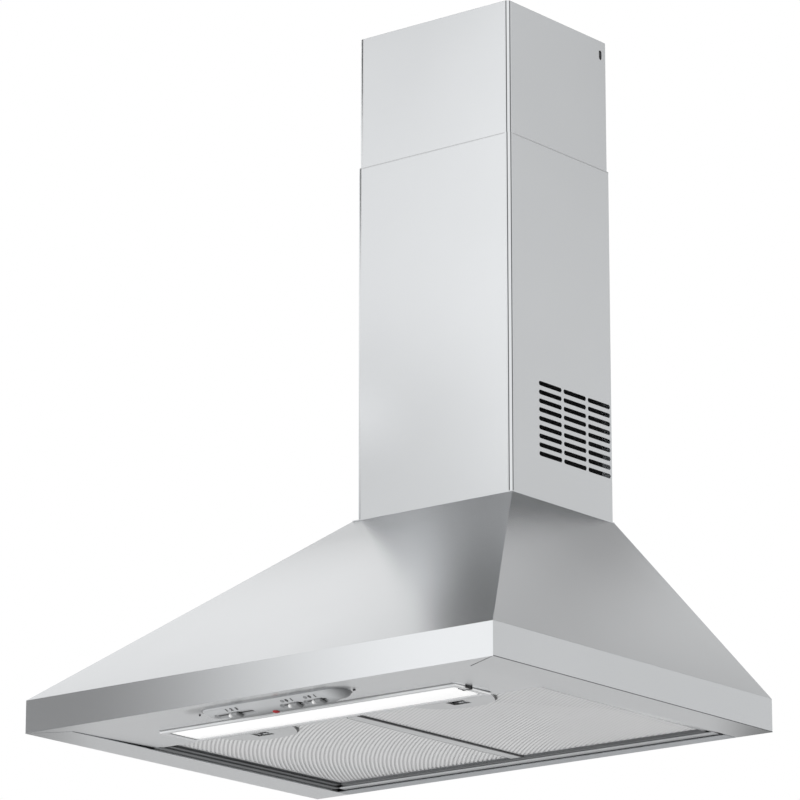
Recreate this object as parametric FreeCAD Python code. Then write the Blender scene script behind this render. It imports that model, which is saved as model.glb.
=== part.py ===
import FreeCAD, Part
import math
import os

# A wall-hung range hood with a pyramid canopy and a telescoping chimney, in millimetres.
# X runs to the right as seen from the front, Y runs into the wall and Z up.
# The origin lies on the wall, at the middle of the canopy's bottom edge.

V = FreeCAD.Vector
X_AXIS = V(1, 0, 0)
Y_AXIS = V(0, 1, 0)
Z_AXIS = V(0, 0, 1)

# Canopy of folded sheet steel
hood_width = 600.0
hood_depth = 468.0
skirt_height = 34.5
canopy_height = 248.5
steel = 0.8
side_flange = 44.0
flange_taper = 23.3
rear_flange = 18.0
front_panel_depth = 141.0
fold_gap = 0.8
cut_over = 6.0

# Wall fixings in the rear panel
keyhole_spacing = 230.0
keyhole_height = 190.0
keyhole_radius = 5.0
keyhole_slot_width = 5.2
keyhole_slot_length = 12.0
lower_hole_spacing = 460.0
lower_hole_height = 22.0
lower_hole_radius = 2.75

# Chimney sleeves
sleeve_width = 206.0
sleeve_depth = 177.0
sleeve_length = 390.5
sleeve_corner = 6.0
sleeve_return = 12.0
sleeve_clearance = 0.4
upper_length = 385.0
upper_shows = 147.5
neck_margin = 2.7
ring_thickness = 1.0
ring_bar = 9.0
ring_rear_bar = 5.0

# Air slots in both sides of the lower sleeve
vent_columns = 3
vent_rows = 9
vent_length = 39.8
vent_height = 4.9
vent_pitch_along = 43.1
vent_pitch_up = 9.5
vent_wall_margin = 2.4
vent_top_above_base = 126.3

# Wall bracket in the top of the upper sleeve
bracket_height = 30.0
bracket_sheet = 1.2
bracket_ear = 20.0
bracket_below_top = 3.0
bracket_hole_spacing = 120.0
bracket_hole_radius = 2.5
bracket_boss_radius = 7.0
bracket_fit = 0.3
fix_slot_width = 4.8
fix_slot_height = 10.7
fix_slot_from_wall = 10.3
fix_slot_below_top = 16.1
fix_hole_radius = 1.7

# Stepped frame around the filter opening
seat_lap = 2.5
seat_base = 2.2
seat_step = 9.0
seat_overlap = 2.0
seat_rise = 2.4
seat_wall = 2.4
seat_lip = 6.0
seat_lip_thickness = 1.8
rail_width = 12.5
rail_sheet = 1.0
rail_inset = 0.2

# Grease filters
filter_gap = 1.0
rail_gap = 3.2
filter_height = 9.5
filter_rise = 0.1
filter_head_room = 0.8
filter_skin = 1.2
filter_lip = 3.0
filter_lip_thickness = 0.8
mesh_gap = 0.2
mesh_thickness = 2.0
pivot_inset = 2.5
pivot_rise = 1.6
pivot_radius = 1.5
pivot_play = 0.06
pivot_short = 0.4

# Pull latches of the filters
latch_plate_radius = 42.6
latch_plate_depth = 28.0
latch_plate_thickness = 1.6
pocket_length = 21.0
pocket_width = 13.0
pocket_margin = 1.0
latch_play = 0.4
latch_block = 5.5
latch_height = 5.6
latch_sunk = 0.5
latch_head_room = 0.5
tongue_width = 14.0
tongue_thickness = 2.0
tongue_play = 0.3
tongue_reach = 0.6

# Lamp under the front panel
lens_length = 358.0
lens_width = 46.5
lens_setback = 84.5
lens_proud = 2.5
lens_sheet = 1.6
lens_depth = 6.0
lens_gap_front = 2.0
lens_gap_rear = 1.5
trim_bar = 4.0
trim_end_bar = 10.0
trim_proud = 2.2
trim_depth = 8.2
trim_play = 0.5
lens_pivot_inset = 2.5
lens_pivot_radius = 1.0
lens_pivot_above_panel = 0.6
lens_pivot_length = 6.0
tray_play = 0.2
tray_sheet = 1.0
tray_height = 36.0
tray_tab = 10.0
lamp_radius = 9.0
lamp_length = 88.0
lamp_neck_radius = 6.5
lamp_neck_length = 9.0
holder_radius = 11.0
holder_length = 26.0
lamp_above_panel = 20.0
clip_width = 8.0
clip_length = 7.0
clip_thickness = 0.8

# Control housing and its sliding knobs
housing_half_length = 90.0
housing_half_width = 14.0
housing_setback = 41.0
housing_front_rise = 0.6
housing_drop = 6.0
housing_wall = 2.0
housing_top = 12.0
housing_play = 0.3
ear_reach = 14.0
ear_spread = 6.0
ear_thickness = 1.8
ear_screw_spacing = 196.0
ear_screw_radius = 1.4
ear_screw_head = 2.2
ear_screw_head_height = 1.0
ear_screw_length = 6.0
slot_setback = 43.0
slot_width = 7.0
speed_slot_centre = -54.0
speed_slot_length = 50.0
speed_knob_place = -51.0
light_slot_centre = 20.0
fan_slot_centre = 50.0
small_slot_length = 28.0
light_knob_place = 26.0
fan_knob_place = 56.0
knob_travel = 6.6
thumb_width = 8.0
thumb_length = 12.0
thumb_height = 5.0
thumb_edge = 1.2
thumb_gap = 0.4
stem_width = 4.0
stem_length = 4.0
stem_depth = 6.0
stem_play = 0.5
switch_width = 13.0
switch_margin = 0.5
switch_gap = 0.3
switch_height = 11.0
board_thickness = 1.6
board_play = 0.5
pilot_place = -6.0
pilot_setback = 49.5
pilot_radius = 3.2
pilot_play = 0.1
pilot_proud = 1.2
pilot_length = 14.0

# Blower
blower_from_wall = 108.0
blower_height = 128.0
scroll_radius = 88.0
scroll_half_width = 63.0
scroll_wall = 2.0
plenum_front = 168.0
plenum_rear = 28.0
plenum_top = 236.0
inlet_radius = 56.0
inlet_ring_length = 10.0
impeller_radius = 70.0
impeller_half_width = 52.0
blade_count = 30
blade_depth = 14.0
blade_thickness = 1.2
blade_inset = 1.0
impeller_disc = 3.0
hub_radius = 12.0
hub_length = 22.0
shaft_radius = 4.0
shaft_play = 0.05
shaft_in_motor = 30.0
shaft_hole_radius = 16.0
motor_radius = 44.0
motor_length = 50.0
motor_nose_radius = 30.0
motor_nose_length = 12.0
hanger_width = 90.0
hanger_height = 26.0
hanger_sheet = 1.5
hanger_top = 218.0
hanger_screw_spacing = 60.0
hanger_screw_pitch = 12.0
hanger_screw_radius = 2.0
hanger_screw_head = 3.8
hanger_screw_head_height = 2.0

# Outlet collar and its two damper flaps
collar_radius = 60.0
collar_wall = 2.0
collar_length = 52.0
collar_flange = 2.0
collar_flange_half_x = 64.0
collar_flange_half_y = 66.0
collar_screw_half_x = 52.0
collar_screw_half_y = 56.0
flap_height = 30.0
flap_thickness = 1.2
flap_gap = 0.8
flap_pin_radius = 2.0
flap_pin_play = 0.06
flap_pin_sunk = 1.0
barrel_count = 4
barrel_radius = 3.6
barrel_length = 22.0
barrel_spacing = 2.0
web_start = 2.6
flap_start = 4.2
ledge_width = 4.0
ledge_thickness = 1.5
ledge_gap = 0.3

# Electrical pieces on the rear panel
box_gap = 4.0
box_width = 60.0
box_depth = 33.2
box_bottom = 70.0
box_height = 60.0
box_wall = 2.0
lid_thickness = 2.0
block_width = 36.0
block_depth = 14.0
block_height = 18.0
gland_inset = 11.0
gland_flange_radius = 9.0
gland_flange = 2.0
gland_radius = 6.5
gland_length = 14.0
gland_bore = 4.0
gland_hole_play = 0.5
capacitor_place = -95.0
capacitor_radius = 14.0
capacitor_bottom = 60.0
capacitor_length = 65.0
strap_play = 0.2
strap_thickness = 1.0
strap_height = 10.0
strap_foot = 20.0

# Places that follow from the sizes above
half = hood_width / 2
front = -hood_depth
open_half = half - side_flange
open_front = front + front_panel_depth
open_rear = -rear_flange
neck_half = sleeve_width / 2 + neck_margin
neck_front = -sleeve_depth - neck_margin
sleeve_base = canopy_height + ring_thickness
sleeve_top = sleeve_base + sleeve_length
upper_half = sleeve_width / 2 - steel - sleeve_clearance
upper_front = -sleeve_depth + steel + sleeve_clearance
upper_back = -steel - sleeve_clearance
upper_top = sleeve_top + upper_shows
seat_inset = 2 * seat_step
seat_mid = steel + seat_base
seat_shelf = seat_mid + seat_rise
filter_floor = seat_shelf + filter_rise
filter_top = filter_floor + filter_height
seat_top = filter_top + filter_head_room
filter_outer = open_half - seat_inset - filter_gap
filter_inner = rail_width / 2 + rail_gap
filter_front = open_front + seat_inset + filter_gap
filter_rear = open_rear - seat_inset - filter_gap
filter_middle = (filter_outer + filter_inner) / 2
pivot_y = filter_rear - pivot_inset
pivot_z = filter_floor + pivot_rise
lens_front = front + lens_setback
lens_rear = lens_front + lens_width
trim_front = lens_front - lens_gap_front - trim_bar
trim_rear = lens_rear + lens_gap_rear + trim_bar
trim_half = lens_length / 2 + lens_gap_front + trim_end_bar
trim_top = trim_depth - trim_proud
lens_pivot_y = lens_front + lens_pivot_inset
lens_middle = (lens_front + lens_rear) / 2
housing_y = front + housing_setback
slot_y = front + slot_setback
face_front = housing_y - housing_half_width
face_rear = housing_y + housing_half_width
face_slope = (housing_drop + housing_front_rise) / (face_rear - face_front)
collar_y = -(plenum_front + plenum_rear) / 2
collar_base = plenum_top + collar_flange
flap_z = collar_base + flap_height
box_left = scroll_half_width + scroll_wall + box_gap


def box(x0, x1, y0, y1, z0, z1):
    """Block between two corners."""
    return Part.makeBox(x1 - x0, y1 - y0, z1 - z0, V(x0, y0, z0))


def rod(radius, length, start, axis):
    """Round bar from a start point along an axis."""
    return Part.makeCylinder(radius, length, start, axis)


def plate(points, z0, z1):
    """Flat polygon seen from above, between two heights."""
    corners = [V(x, y, z0) for x, y in points]
    face = Part.Face(Part.makePolygon(corners + corners[:1]))
    return face.extrude(V(0, 0, z1 - z0))


def side_profile(points, x0, x1):
    """Polygon in the plane of Y and Z, drawn out along X."""
    corners = [V(x0, y, z) for y, z in points]
    face = Part.Face(Part.makePolygon(corners + corners[:1]))
    return face.extrude(V(x1 - x0, 0, 0))


def frame_ring(outer, inner, z0, z1):
    """Rectangular ring; each rectangle is x0, x1, y0, y1."""
    hole = box(*inner, z0 - cut_over, z1 + cut_over)
    return box(*outer, z0, z1).cut(hole)


def stadium(x, y, half_length, half_width, z0, z1):
    """Upright block with half-round ends, long along X."""
    straight = half_length - half_width
    left = V(x - straight, y, z0)
    right = V(x + straight, y, z0)
    up = V(0, half_width, 0)
    side = V(half_width, 0, 0)
    wire = Part.Wire([
        Part.makeLine(left + up, right + up),
        Part.Arc(right + up, right + side, right - up).toShape(),
        Part.makeLine(right - up, left - up),
        Part.Arc(left - up, left - side, left + up).toShape(),
    ])
    return Part.Face(wire).extrude(V(0, 0, z1 - z0))


def round_front(half_width, y_front, y_back, radius, z0, z1):
    """Upright block whose two front edges are bent to a radius."""
    nick = radius * (1 - math.sqrt(0.5))
    a = V(-half_width, y_back, z0)
    b = V(-half_width, y_front + radius, z0)
    c = V(-half_width + radius, y_front, z0)
    d = V(half_width - radius, y_front, z0)
    e = V(half_width, y_front + radius, z0)
    f = V(half_width, y_back, z0)
    wire = Part.Wire([
        Part.makeLine(a, b),
        Part.Arc(b, V(-half_width + nick, y_front + nick, z0), c).toShape(),
        Part.makeLine(c, d),
        Part.Arc(d, V(half_width - nick, y_front + nick, z0), e).toShape(),
        Part.makeLine(e, f),
        Part.makeLine(f, a),
    ])
    return Part.Face(wire).extrude(V(0, 0, z1 - z0))


def span(side, near, far):
    """Two X places on the left (-1) or right (+1), in rising order."""
    return sorted((side * near, side * far))


def joined(pieces):
    """One clean solid from touching or overlapping blocks."""
    return pieces[0].fuse(pieces[1:]).removeSplitter()


def canopy_block(inset, rise, y_back):
    """Solid canopy shape, with its walls moved in by the sheet."""
    skirt = box(-half + inset, half - inset, front + inset, y_back, -rise, skirt_height)
    outlines = []
    for half_width, y_front, z in (
        (half - inset, front + inset, skirt_height),
        (neck_half - inset, neck_front + inset, canopy_height),
    ):
        corners = [
            V(-half_width, y_front, z),
            V(half_width, y_front, z),
            V(half_width, y_back, z),
            V(-half_width, y_back, z),
        ]
        outlines.append(Part.makePolygon(corners + corners[:1]))
    slope = Part.makeLoft(outlines, True, True)
    return skirt.fuse(slope)


def canopy_shell():
    """Open sheet pyramid standing on its skirt."""
    return canopy_block(0, 0, 0).cut(canopy_block(steel, cut_over, cut_over))


def hip_line():
    """Two points in plan on the line of a hip, outside the corner and inside the neck."""
    run = V(half - neck_half, front - neck_front, 0)
    step = run * (cut_over / run.Length)
    return (half + step.x, front + step.y), (neck_half - step.x, neck_front - step.y)


def canopy_front():
    """Front slope and front skirt, cut off at the hips."""
    (x_out, y_out), (x_in, y_in) = hip_line()
    wedge = plate([(-x_out, y_out), (x_out, y_out), (x_in, y_in), (-x_in, y_in)],
                  -cut_over, canopy_height + cut_over)
    return canopy_shell().common(wedge).removeSplitter()


def canopy_side(side):
    """Side slope, side skirt and the flange folded under it."""
    (x_out, y_out), (x_in, y_in) = hip_line()
    points = [(x_out, y_out), (x_out, cut_over), (x_in, cut_over), (x_in, y_in)]
    wedge = plate([(side * x, y) for x, y in points], -cut_over, canopy_height + cut_over)
    sheet = canopy_shell().common(wedge)
    inner = half - steel
    fold = [(inner, front + steel), (inner, 0), (open_half, 0), (open_half, front + flange_taper)]
    flange = plate([(side * x, y) for x, y in fold], 0, steel)
    return joined([sheet, flange])


def control_place():
    """Clearance hole in the front panel for the control housing."""
    return stadium(0, housing_y, housing_half_length + housing_play,
                   housing_half_width + housing_play, -cut_over, steel + cut_over)


def front_panel():
    """Bottom panel behind the front skirt, notched for the lamp."""
    corner = half - steel - fold_gap
    side = open_half - fold_gap
    sheet = plate(
        [(-corner, front + steel), (corner, front + steel), (side, front + flange_taper),
         (side, open_front), (-side, open_front), (-side, front + flange_taper)],
        0, steel)
    notch_half = trim_half + trim_play
    notch = box(-notch_half, notch_half, trim_front - trim_play, open_front + cut_over,
                -cut_over, steel + cut_over)
    sheet = sheet.cut(notch).cut(control_place())
    for x in (-ear_screw_spacing / 2, ear_screw_spacing / 2):
        sheet = sheet.cut(rod(ear_screw_radius, steel + 2 * cut_over, V(x, housing_y, -cut_over), Z_AXIS))
    return sheet


def rear_panel():
    """Back sheet with keyholes, lower screw holes and the strip folded under it."""
    inner = canopy_block(steel, 0, 0)
    sheet = inner.common(box(-half, half, -steel, 0, steel, canopy_height))
    strip_half = open_half - fold_gap
    sheet = joined([sheet, box(-strip_half, strip_half, open_rear, 0, 0, steel)])
    reach = steel + 2 * cut_over
    for side in (-1, 1):
        x = side * keyhole_spacing / 2
        sheet = sheet.cut(rod(keyhole_radius, reach, V(x, cut_over, keyhole_height), -Y_AXIS))
        slot = box(x - keyhole_slot_width / 2, x + keyhole_slot_width / 2, -reach, cut_over,
                   keyhole_height, keyhole_height + keyhole_slot_length)
        end = V(x, cut_over, keyhole_height + keyhole_slot_length)
        sheet = sheet.cut(slot).cut(rod(keyhole_slot_width / 2, reach, end, -Y_AXIS))
        low = V(side * lower_hole_spacing / 2, cut_over, lower_hole_height)
        sheet = sheet.cut(rod(lower_hole_radius, reach, low, -Y_AXIS))
    return sheet


def neck_ring():
    """Flat ring on top of the canopy, which the chimney stands on."""
    outer = (-neck_half, neck_half, neck_front, 0)
    inner = (-neck_half + ring_bar, neck_half - ring_bar, neck_front + ring_bar, -ring_rear_bar)
    return frame_ring(outer, inner, canopy_height, sleeve_base)


def sleeve(half_width, y_front, y_back, z0, z1):
    """Sheet channel, open at the back between two returned edges."""
    body = round_front(half_width, y_front, y_back, sleeve_corner, z0, z1)
    hollow = round_front(half_width - steel, y_front + steel, y_back - steel,
                         sleeve_corner - steel, z0 - cut_over, z1 + cut_over)
    gap = half_width - sleeve_return
    mouth = box(-gap, gap, y_back - steel - cut_over, y_back + cut_over, z0 - cut_over, z1 + cut_over)
    return body.cut(hollow).cut(mouth)


def vent_slot(y_rear, z):
    """One round-ended air slot, cut through both sides of the sleeve."""
    end = vent_height / 2
    width = sleeve_width + 2 * cut_over
    x0 = -width / 2
    bar = box(x0, x0 + width, y_rear - vent_length + end, y_rear - end, z - end, z + end)
    ends = [rod(end, width, V(x0, y, z), X_AXIS) for y in (y_rear - end, y_rear - vent_length + end)]
    return joined([bar] + ends)


def lower_chimney():
    """Lower sleeve with its block of air slots."""
    body = sleeve(sleeve_width / 2, -sleeve_depth, 0, sleeve_base, sleeve_top)
    slots = []
    for column in range(vent_columns):
        for row in range(vent_rows):
            y_rear = -vent_wall_margin - column * vent_pitch_along
            z = sleeve_base + vent_top_above_base - row * vent_pitch_up
            slots.append(vent_slot(y_rear, z))
    return body.cut(Part.makeCompound(slots))


def fix_slot():
    """Upright slot through both sides of the upper sleeve, for the bracket's screws."""
    r = fix_slot_width / 2
    y = -fix_slot_from_wall
    z = upper_top - fix_slot_below_top
    reach = upper_half + cut_over
    straight = fix_slot_height / 2 - r
    ends = [rod(r, 2 * reach, V(-reach, y, z + lift), X_AXIS) for lift in (-straight, straight)]
    return joined([box(-reach, reach, y - r, y + r, z - straight, z + straight)] + ends)


def upper_chimney():
    """Upper sleeve, which slides in the lower one."""
    body = sleeve(upper_half, upper_front, upper_back, upper_top - upper_length, upper_top)
    return body.cut(fix_slot())


def chimney_bracket():
    """Wall bracket inside the top of the upper sleeve."""
    z1 = upper_top - bracket_below_top
    z0 = z1 - bracket_height
    y_back = upper_back - steel
    reach = upper_half - steel - bracket_fit
    back = box(-reach, reach, y_back - bracket_sheet, y_back, z0, z1)
    pieces = [back]
    holes = []
    for side in (-1, 1):
        x0, x1 = span(side, reach - bracket_sheet, reach)
        pieces.append(box(x0, x1, y_back - bracket_ear, y_back, z0, z1))
        x = side * bracket_hole_spacing / 2
        z = (z0 + z1) / 2
        pieces.append(rod(bracket_boss_radius, -y_back, V(x, 0, z), -Y_AXIS))
        holes.append(rod(bracket_hole_radius, bracket_ear, V(x, cut_over, z), -Y_AXIS))
    z = upper_top - fix_slot_below_top
    holes.append(rod(fix_hole_radius, 2 * upper_half, V(-upper_half, -fix_slot_from_wall, z), X_AXIS))
    body = joined(pieces)
    for hole in holes:
        body = body.cut(hole)
    return body


def opening(inset):
    """Rectangle of the filter opening, drawn in by an inset."""
    return (-open_half + inset, open_half - inset, open_front + inset, open_rear - inset)


def pivot_pin(side, play):
    """Pin on a filter's swing axis, from the outer seat wall to the rail."""
    x0, x1 = span(side, filter_inner - rail_gap - rail_sheet + pivot_short,
                  filter_outer + filter_gap + seat_wall - pivot_short)
    return rod(pivot_radius + play, x1 - x0, V(x0, pivot_y, pivot_z), X_AXIS)


def filter_seat():
    """Stepped frame that the filters close against."""
    wall = seat_inset - seat_wall
    rings = [
        frame_ring(opening(-seat_lap), opening(seat_step), steel, seat_mid),
        frame_ring(opening(seat_step - seat_overlap), opening(seat_inset), seat_mid, seat_shelf),
        frame_ring(opening(wall), opening(seat_inset), seat_shelf, seat_top),
        frame_ring(opening(wall), opening(seat_inset + seat_lip), seat_top, seat_top + seat_lip_thickness),
    ]
    body = joined(rings)
    for side in (-1, 1):
        body = body.cut(pivot_pin(side, pivot_play))
    return body


def centre_rail():
    """Folded bar between the two filters, open on top."""
    x = rail_width / 2
    y0 = open_front + seat_inset
    y1 = open_rear - seat_inset
    z0 = filter_floor + rail_inset
    body = box(-x, x, y0, y1, z0, seat_top)
    hollow = box(-x + rail_sheet, x - rail_sheet, y0 - cut_over, y1 + cut_over,
                 z0 + rail_sheet, seat_top + cut_over)
    body = body.cut(hollow)
    for side in (-1, 1):
        body = body.cut(pivot_pin(side, pivot_play))
    return body


def filter_rectangle(side, inset):
    """Rectangle of one filter, drawn in by an inset."""
    x0, x1 = span(side, filter_inner + inset, filter_outer - inset)
    return (x0, x1, filter_front + inset, filter_rear - inset)


def tongue(side, play):
    """Latch tongue that reaches through the front of a filter."""
    x = side * filter_middle
    w = tongue_width / 2 + play
    z1 = filter_floor - latch_sunk + latch_height + play
    z0 = z1 - tongue_thickness - 2 * play
    return box(x - w, x + w, filter_front - tongue_reach, pocket_front() + latch_play, z0, z1)


def pocket_front():
    """Front edge of the finger pocket."""
    return filter_front + filter_lip + pocket_margin


def filter_frame(side):
    """Channel frame of one filter, with its pivot pins."""
    lips = filter_rectangle(side, filter_lip)
    whole = filter_rectangle(side, 0)
    body = joined([
        frame_ring(whole, filter_rectangle(side, filter_skin), filter_floor, filter_top),
        frame_ring(whole, lips, filter_floor, filter_floor + filter_lip_thickness),
        frame_ring(whole, lips, filter_top - filter_lip_thickness, filter_top),
    ])
    inside = box(*filter_rectangle(side, filter_skin), 0, filter_top + cut_over)
    pins = pivot_pin(side, 0).cut(inside)
    return joined([body, pins]).cut(tongue(side, tongue_play))


def pocket(side, margin, z0, z1):
    """Finger pocket of a latch, seen from below."""
    x = side * filter_middle
    half_length = pocket_length / 2 + margin
    y0 = pocket_front()
    return box(x - half_length, x + half_length, y0 - margin, y0 + pocket_width + margin, z0, z1)


def filter_mesh(side):
    """Pad of layered mesh inside a filter's frame."""
    inset = filter_skin + mesh_gap
    z0 = filter_floor + filter_lip_thickness
    pad = box(*filter_rectangle(side, inset), z0, z0 + mesh_thickness)
    roof = filter_floor - latch_sunk + latch_height + latch_head_room
    room = pocket(side, pocket_margin, z0 - cut_over, roof)
    return pad.cut(room).cut(tongue(side, tongue_play)).cut(pivot_pin(side, pivot_play))


def latch_plate(side):
    """Half-moon plate round the finger pocket of a filter."""
    x = side * filter_middle
    z1 = filter_floor + filter_lip_thickness
    z0 = z1 - latch_plate_thickness
    edge = filter_front + filter_lip
    centre = V(x, edge + latch_plate_depth - latch_plate_radius, z0)
    disc = rod(latch_plate_radius, latch_plate_thickness, centre, Z_AXIS)
    keep = box(x - latch_plate_radius, x + latch_plate_radius, edge, edge + latch_plate_radius, z0, z1)
    return disc.common(keep).cut(pocket(side, 0, z0 - cut_over, z1 + cut_over))


def filter_latch(side):
    """Sliding pull with its tongue."""
    x = side * filter_middle
    half_length = pocket_length / 2 - latch_play
    y0 = pocket_front() + latch_play
    z0 = filter_floor - latch_sunk
    block = box(x - half_length, x + half_length, y0, y0 + latch_block, z0, z0 + latch_height)
    return joined([block, tongue(side, 0)])


def lamp_trim():
    """Frame around the lens, with the holes of its hinge pins."""
    x = trim_half - trim_end_bar
    inner = (-x, x, trim_front + trim_bar, trim_rear - trim_bar)
    body = frame_ring((-trim_half, trim_half, trim_front, trim_rear), inner, -trim_proud, trim_top)
    return body.cut(lens_pin(pivot_play))


def lens_pin(play):
    """Hinge pins of the lens, in one line."""
    reach = lens_length / 2 + lens_pivot_length
    return rod(lens_pivot_radius + play, 2 * reach, V(-reach, lens_pivot_y, lens_pivot_above_panel), X_AXIS)


def lamp_lens():
    """Shallow diffuser tray that hangs on two pins at its front edge."""
    x = lens_length / 2
    z0 = -lens_proud
    body = box(-x, x, lens_front, lens_rear, z0, z0 + lens_depth)
    inside = box(-x + lens_sheet, x - lens_sheet, lens_front + lens_sheet, lens_rear - lens_sheet,
                 z0 + lens_sheet, z0 + lens_depth + cut_over)
    pins = lens_pin(0).cut(inside)
    return joined([body.cut(inside), pins.cut(box(-x, x, front, 0, z0, trim_top))])


def lens_clips():
    """Dark spring clips on the ends of the lamp's trim."""
    clips = []
    x0 = trim_half - trim_end_bar
    for side in (-1, 1):
        near, far = span(side, x0, x0 + clip_length)
        y0 = lens_pivot_y - clip_width / 2
        clips.append(box(near, far, y0, y0 + clip_width, -trim_proud - clip_thickness, -trim_proud))
    return Part.makeCompound(clips)


def lamp_tray():
    """Reflector tray above the lens, with a tab at each end."""
    inner = (-trim_half - tray_play, trim_half + tray_play, trim_front - tray_play, trim_rear + tray_play)
    t = tray_sheet
    outer = (inner[0] - t, inner[1] + t, inner[2] - t, inner[3] + t)
    shell = box(*outer, steel, tray_height).cut(box(*inner, steel - cut_over, tray_height - t))
    tabs = []
    for side in (-1, 1):
        x0, x1 = span(side, inner[1], inner[1] + t + tray_tab)
        tabs.append(box(x0, x1, trim_front, lens_middle, steel, steel + t))
    return joined([shell] + tabs)


def lamp_holder(side):
    """Round lamp holder on the end wall of the tray."""
    x0 = side * (trim_half + tray_play)
    centre = V(x0, lens_middle, lamp_above_panel)
    body = rod(holder_radius, holder_length, centre, X_AXIS * -side)
    bore = V(x0 - side * (holder_length - lamp_neck_length), lens_middle, lamp_above_panel)
    return body.cut(rod(lamp_neck_radius, holder_length, bore, X_AXIS * -side))


def lamp(side):
    """Tubular lamp with a round tip, screwed into its holder."""
    x0 = side * (trim_half + tray_play - holder_length)
    axis = X_AXIS * -side
    neck_start = V(x0 + side * lamp_neck_length, lens_middle, lamp_above_panel)
    neck = rod(lamp_neck_radius, lamp_neck_length, neck_start, axis)
    tube_length = lamp_length - lamp_radius
    tube = rod(lamp_radius, tube_length, V(x0, lens_middle, lamp_above_panel), axis)
    tip = Part.makeSphere(lamp_radius, V(x0 - side * tube_length, lens_middle, lamp_above_panel))
    return joined([neck, tube, tip])


def face_height(y):
    """Height of the sloping control face at a place from front to back."""
    return housing_front_rise - face_slope * (y - face_front)


def above_face(lift, half_length, z_top):
    """Room above the sloping face, raised by a lift."""
    y0 = face_front - ear_spread
    y1 = face_rear + ear_spread
    return side_profile(
        [(y0, face_height(y0) + lift), (y1, face_height(y1) + lift), (y1, z_top), (y0, z_top)],
        -half_length, half_length)


def slots():
    """Slot centre, slot length and knob place of the three switches."""
    return {
        "speed": (speed_slot_centre, speed_slot_length, speed_knob_place),
        "light": (light_slot_centre, small_slot_length, light_knob_place),
        "fan": (fan_slot_centre, small_slot_length, fan_knob_place),
    }


def control_housing():
    """Moulded housing whose sloping face carries the knobs."""
    reach = housing_half_length + ear_reach
    z0 = -housing_drop - cut_over
    outer = stadium(0, housing_y, housing_half_length, housing_half_width, z0, housing_top)
    outer = outer.common(above_face(0, reach, housing_top))
    inner = stadium(0, housing_y, housing_half_length - housing_wall, housing_half_width - housing_wall,
                    z0, housing_top + cut_over)
    inner = inner.common(above_face(housing_wall, reach, housing_top + cut_over))
    ears = stadium(0, housing_y, reach, housing_half_width + ear_spread, steel, steel + ear_thickness)
    body = joined([outer, ears.cut(stadium(0, housing_y, housing_half_length - housing_wall,
                                           housing_half_width - housing_wall, z0, housing_top))])
    body = body.cut(inner)
    deep = housing_top + 2 * cut_over
    for centre, length, _ in slots().values():
        body = body.cut(stadium(centre, slot_y, length / 2, slot_width / 2, z0, deep))
    body = body.cut(rod(pilot_radius + pilot_play, deep, V(pilot_place, front + pilot_setback, z0), Z_AXIS))
    for x in (-ear_screw_spacing / 2, ear_screw_spacing / 2):
        body = body.cut(rod(ear_screw_radius, deep, V(x, housing_y, z0), Z_AXIS))
    return body


def control_screws():
    """Two small screws beside the control housing."""
    screws = []
    for x in (-ear_screw_spacing / 2, ear_screw_spacing / 2):
        head = rod(ear_screw_head, ear_screw_head_height, V(x, housing_y, -ear_screw_head_height), Z_AXIS)
        shank = rod(ear_screw_radius, ear_screw_length, V(x, housing_y, 0), Z_AXIS)
        screws.append(joined([head, shank]))
    return Part.makeCompound(screws)


def tilted(shape, y):
    """Shape built flat, turned to lie along the sloping face at a place."""
    shape = shape.copy()
    shape.rotate(V(0, 0, 0), X_AXIS, -math.degrees(math.atan(face_slope)))
    shape.translate(V(0, y, face_height(y)))
    return shape


def knob(place):
    """Thumb piece of a slide switch, on its stem."""
    w = thumb_width / 2
    thumb = box(place - w, place + w, -thumb_length / 2, thumb_length / 2,
                -thumb_gap - thumb_height, -thumb_gap)
    thumb = thumb.makeFillet(thumb_edge, thumb.Edges)
    stem = box(place - stem_width / 2, place + stem_width / 2, -stem_length / 2, stem_length / 2,
               -thumb_gap - thumb_height / 2, stem_depth)
    return tilted(joined([thumb, stem]), slot_y)


def switch_body(name):
    """Switch behind a slot, with a track for the knob's stem."""
    centre, length, place = slots()[name]
    x = length / 2 + switch_margin
    body = box(centre - x, centre + x, slot_y - switch_width / 2, slot_y + switch_width / 2,
               -housing_drop, switch_height)
    body = body.common(above_face(housing_wall + switch_gap, housing_half_length, switch_height))
    reach = stem_width / 2 + knob_travel + stem_play
    w = stem_length / 2 + stem_play
    track = box(place - reach, place + reach, -w, w, -cut_over, stem_depth + stem_play)
    return body.cut(tilted(track, slot_y))


def control_board():
    """Circuit board on top of the switches."""
    inset = housing_wall + board_play
    return stadium(0, housing_y, housing_half_length - inset, housing_half_width - inset,
                   switch_height, switch_height + board_thickness)


def pilot_lens():
    """Red lens of the pilot light."""
    y = front + pilot_setback
    z0 = face_height(y) - pilot_proud
    body = rod(pilot_radius, pilot_length, V(pilot_place, y, z0), Z_AXIS)
    rim = [e for e in body.Edges if e.BoundBox.ZMax < z0 + pilot_proud / 2]
    return body.makeFillet(pilot_proud, rim)


def scroll_outline(inset):
    """Round scroll with an upright outlet box, drawn in by the wall."""
    x = scroll_half_width + cut_over if inset else scroll_half_width
    centre = V(-x, -blower_from_wall, blower_height)
    drum = rod(scroll_radius - inset, 2 * x, centre, X_AXIS)
    riser = box(-x, x, -plenum_front + inset, -plenum_rear - inset, blower_height, plenum_top - inset)
    return joined([drum, riser])


def hanger_holes():
    """Places of the screws that hold the blower to its hanger."""
    z_middle = hanger_top - hanger_height / 2 - hanger_sheet
    return [
        (side * hanger_screw_spacing / 2, z_middle + lift * hanger_screw_pitch / 2)
        for side in (-1, 1)
        for lift in (-1, 1)
    ]


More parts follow.
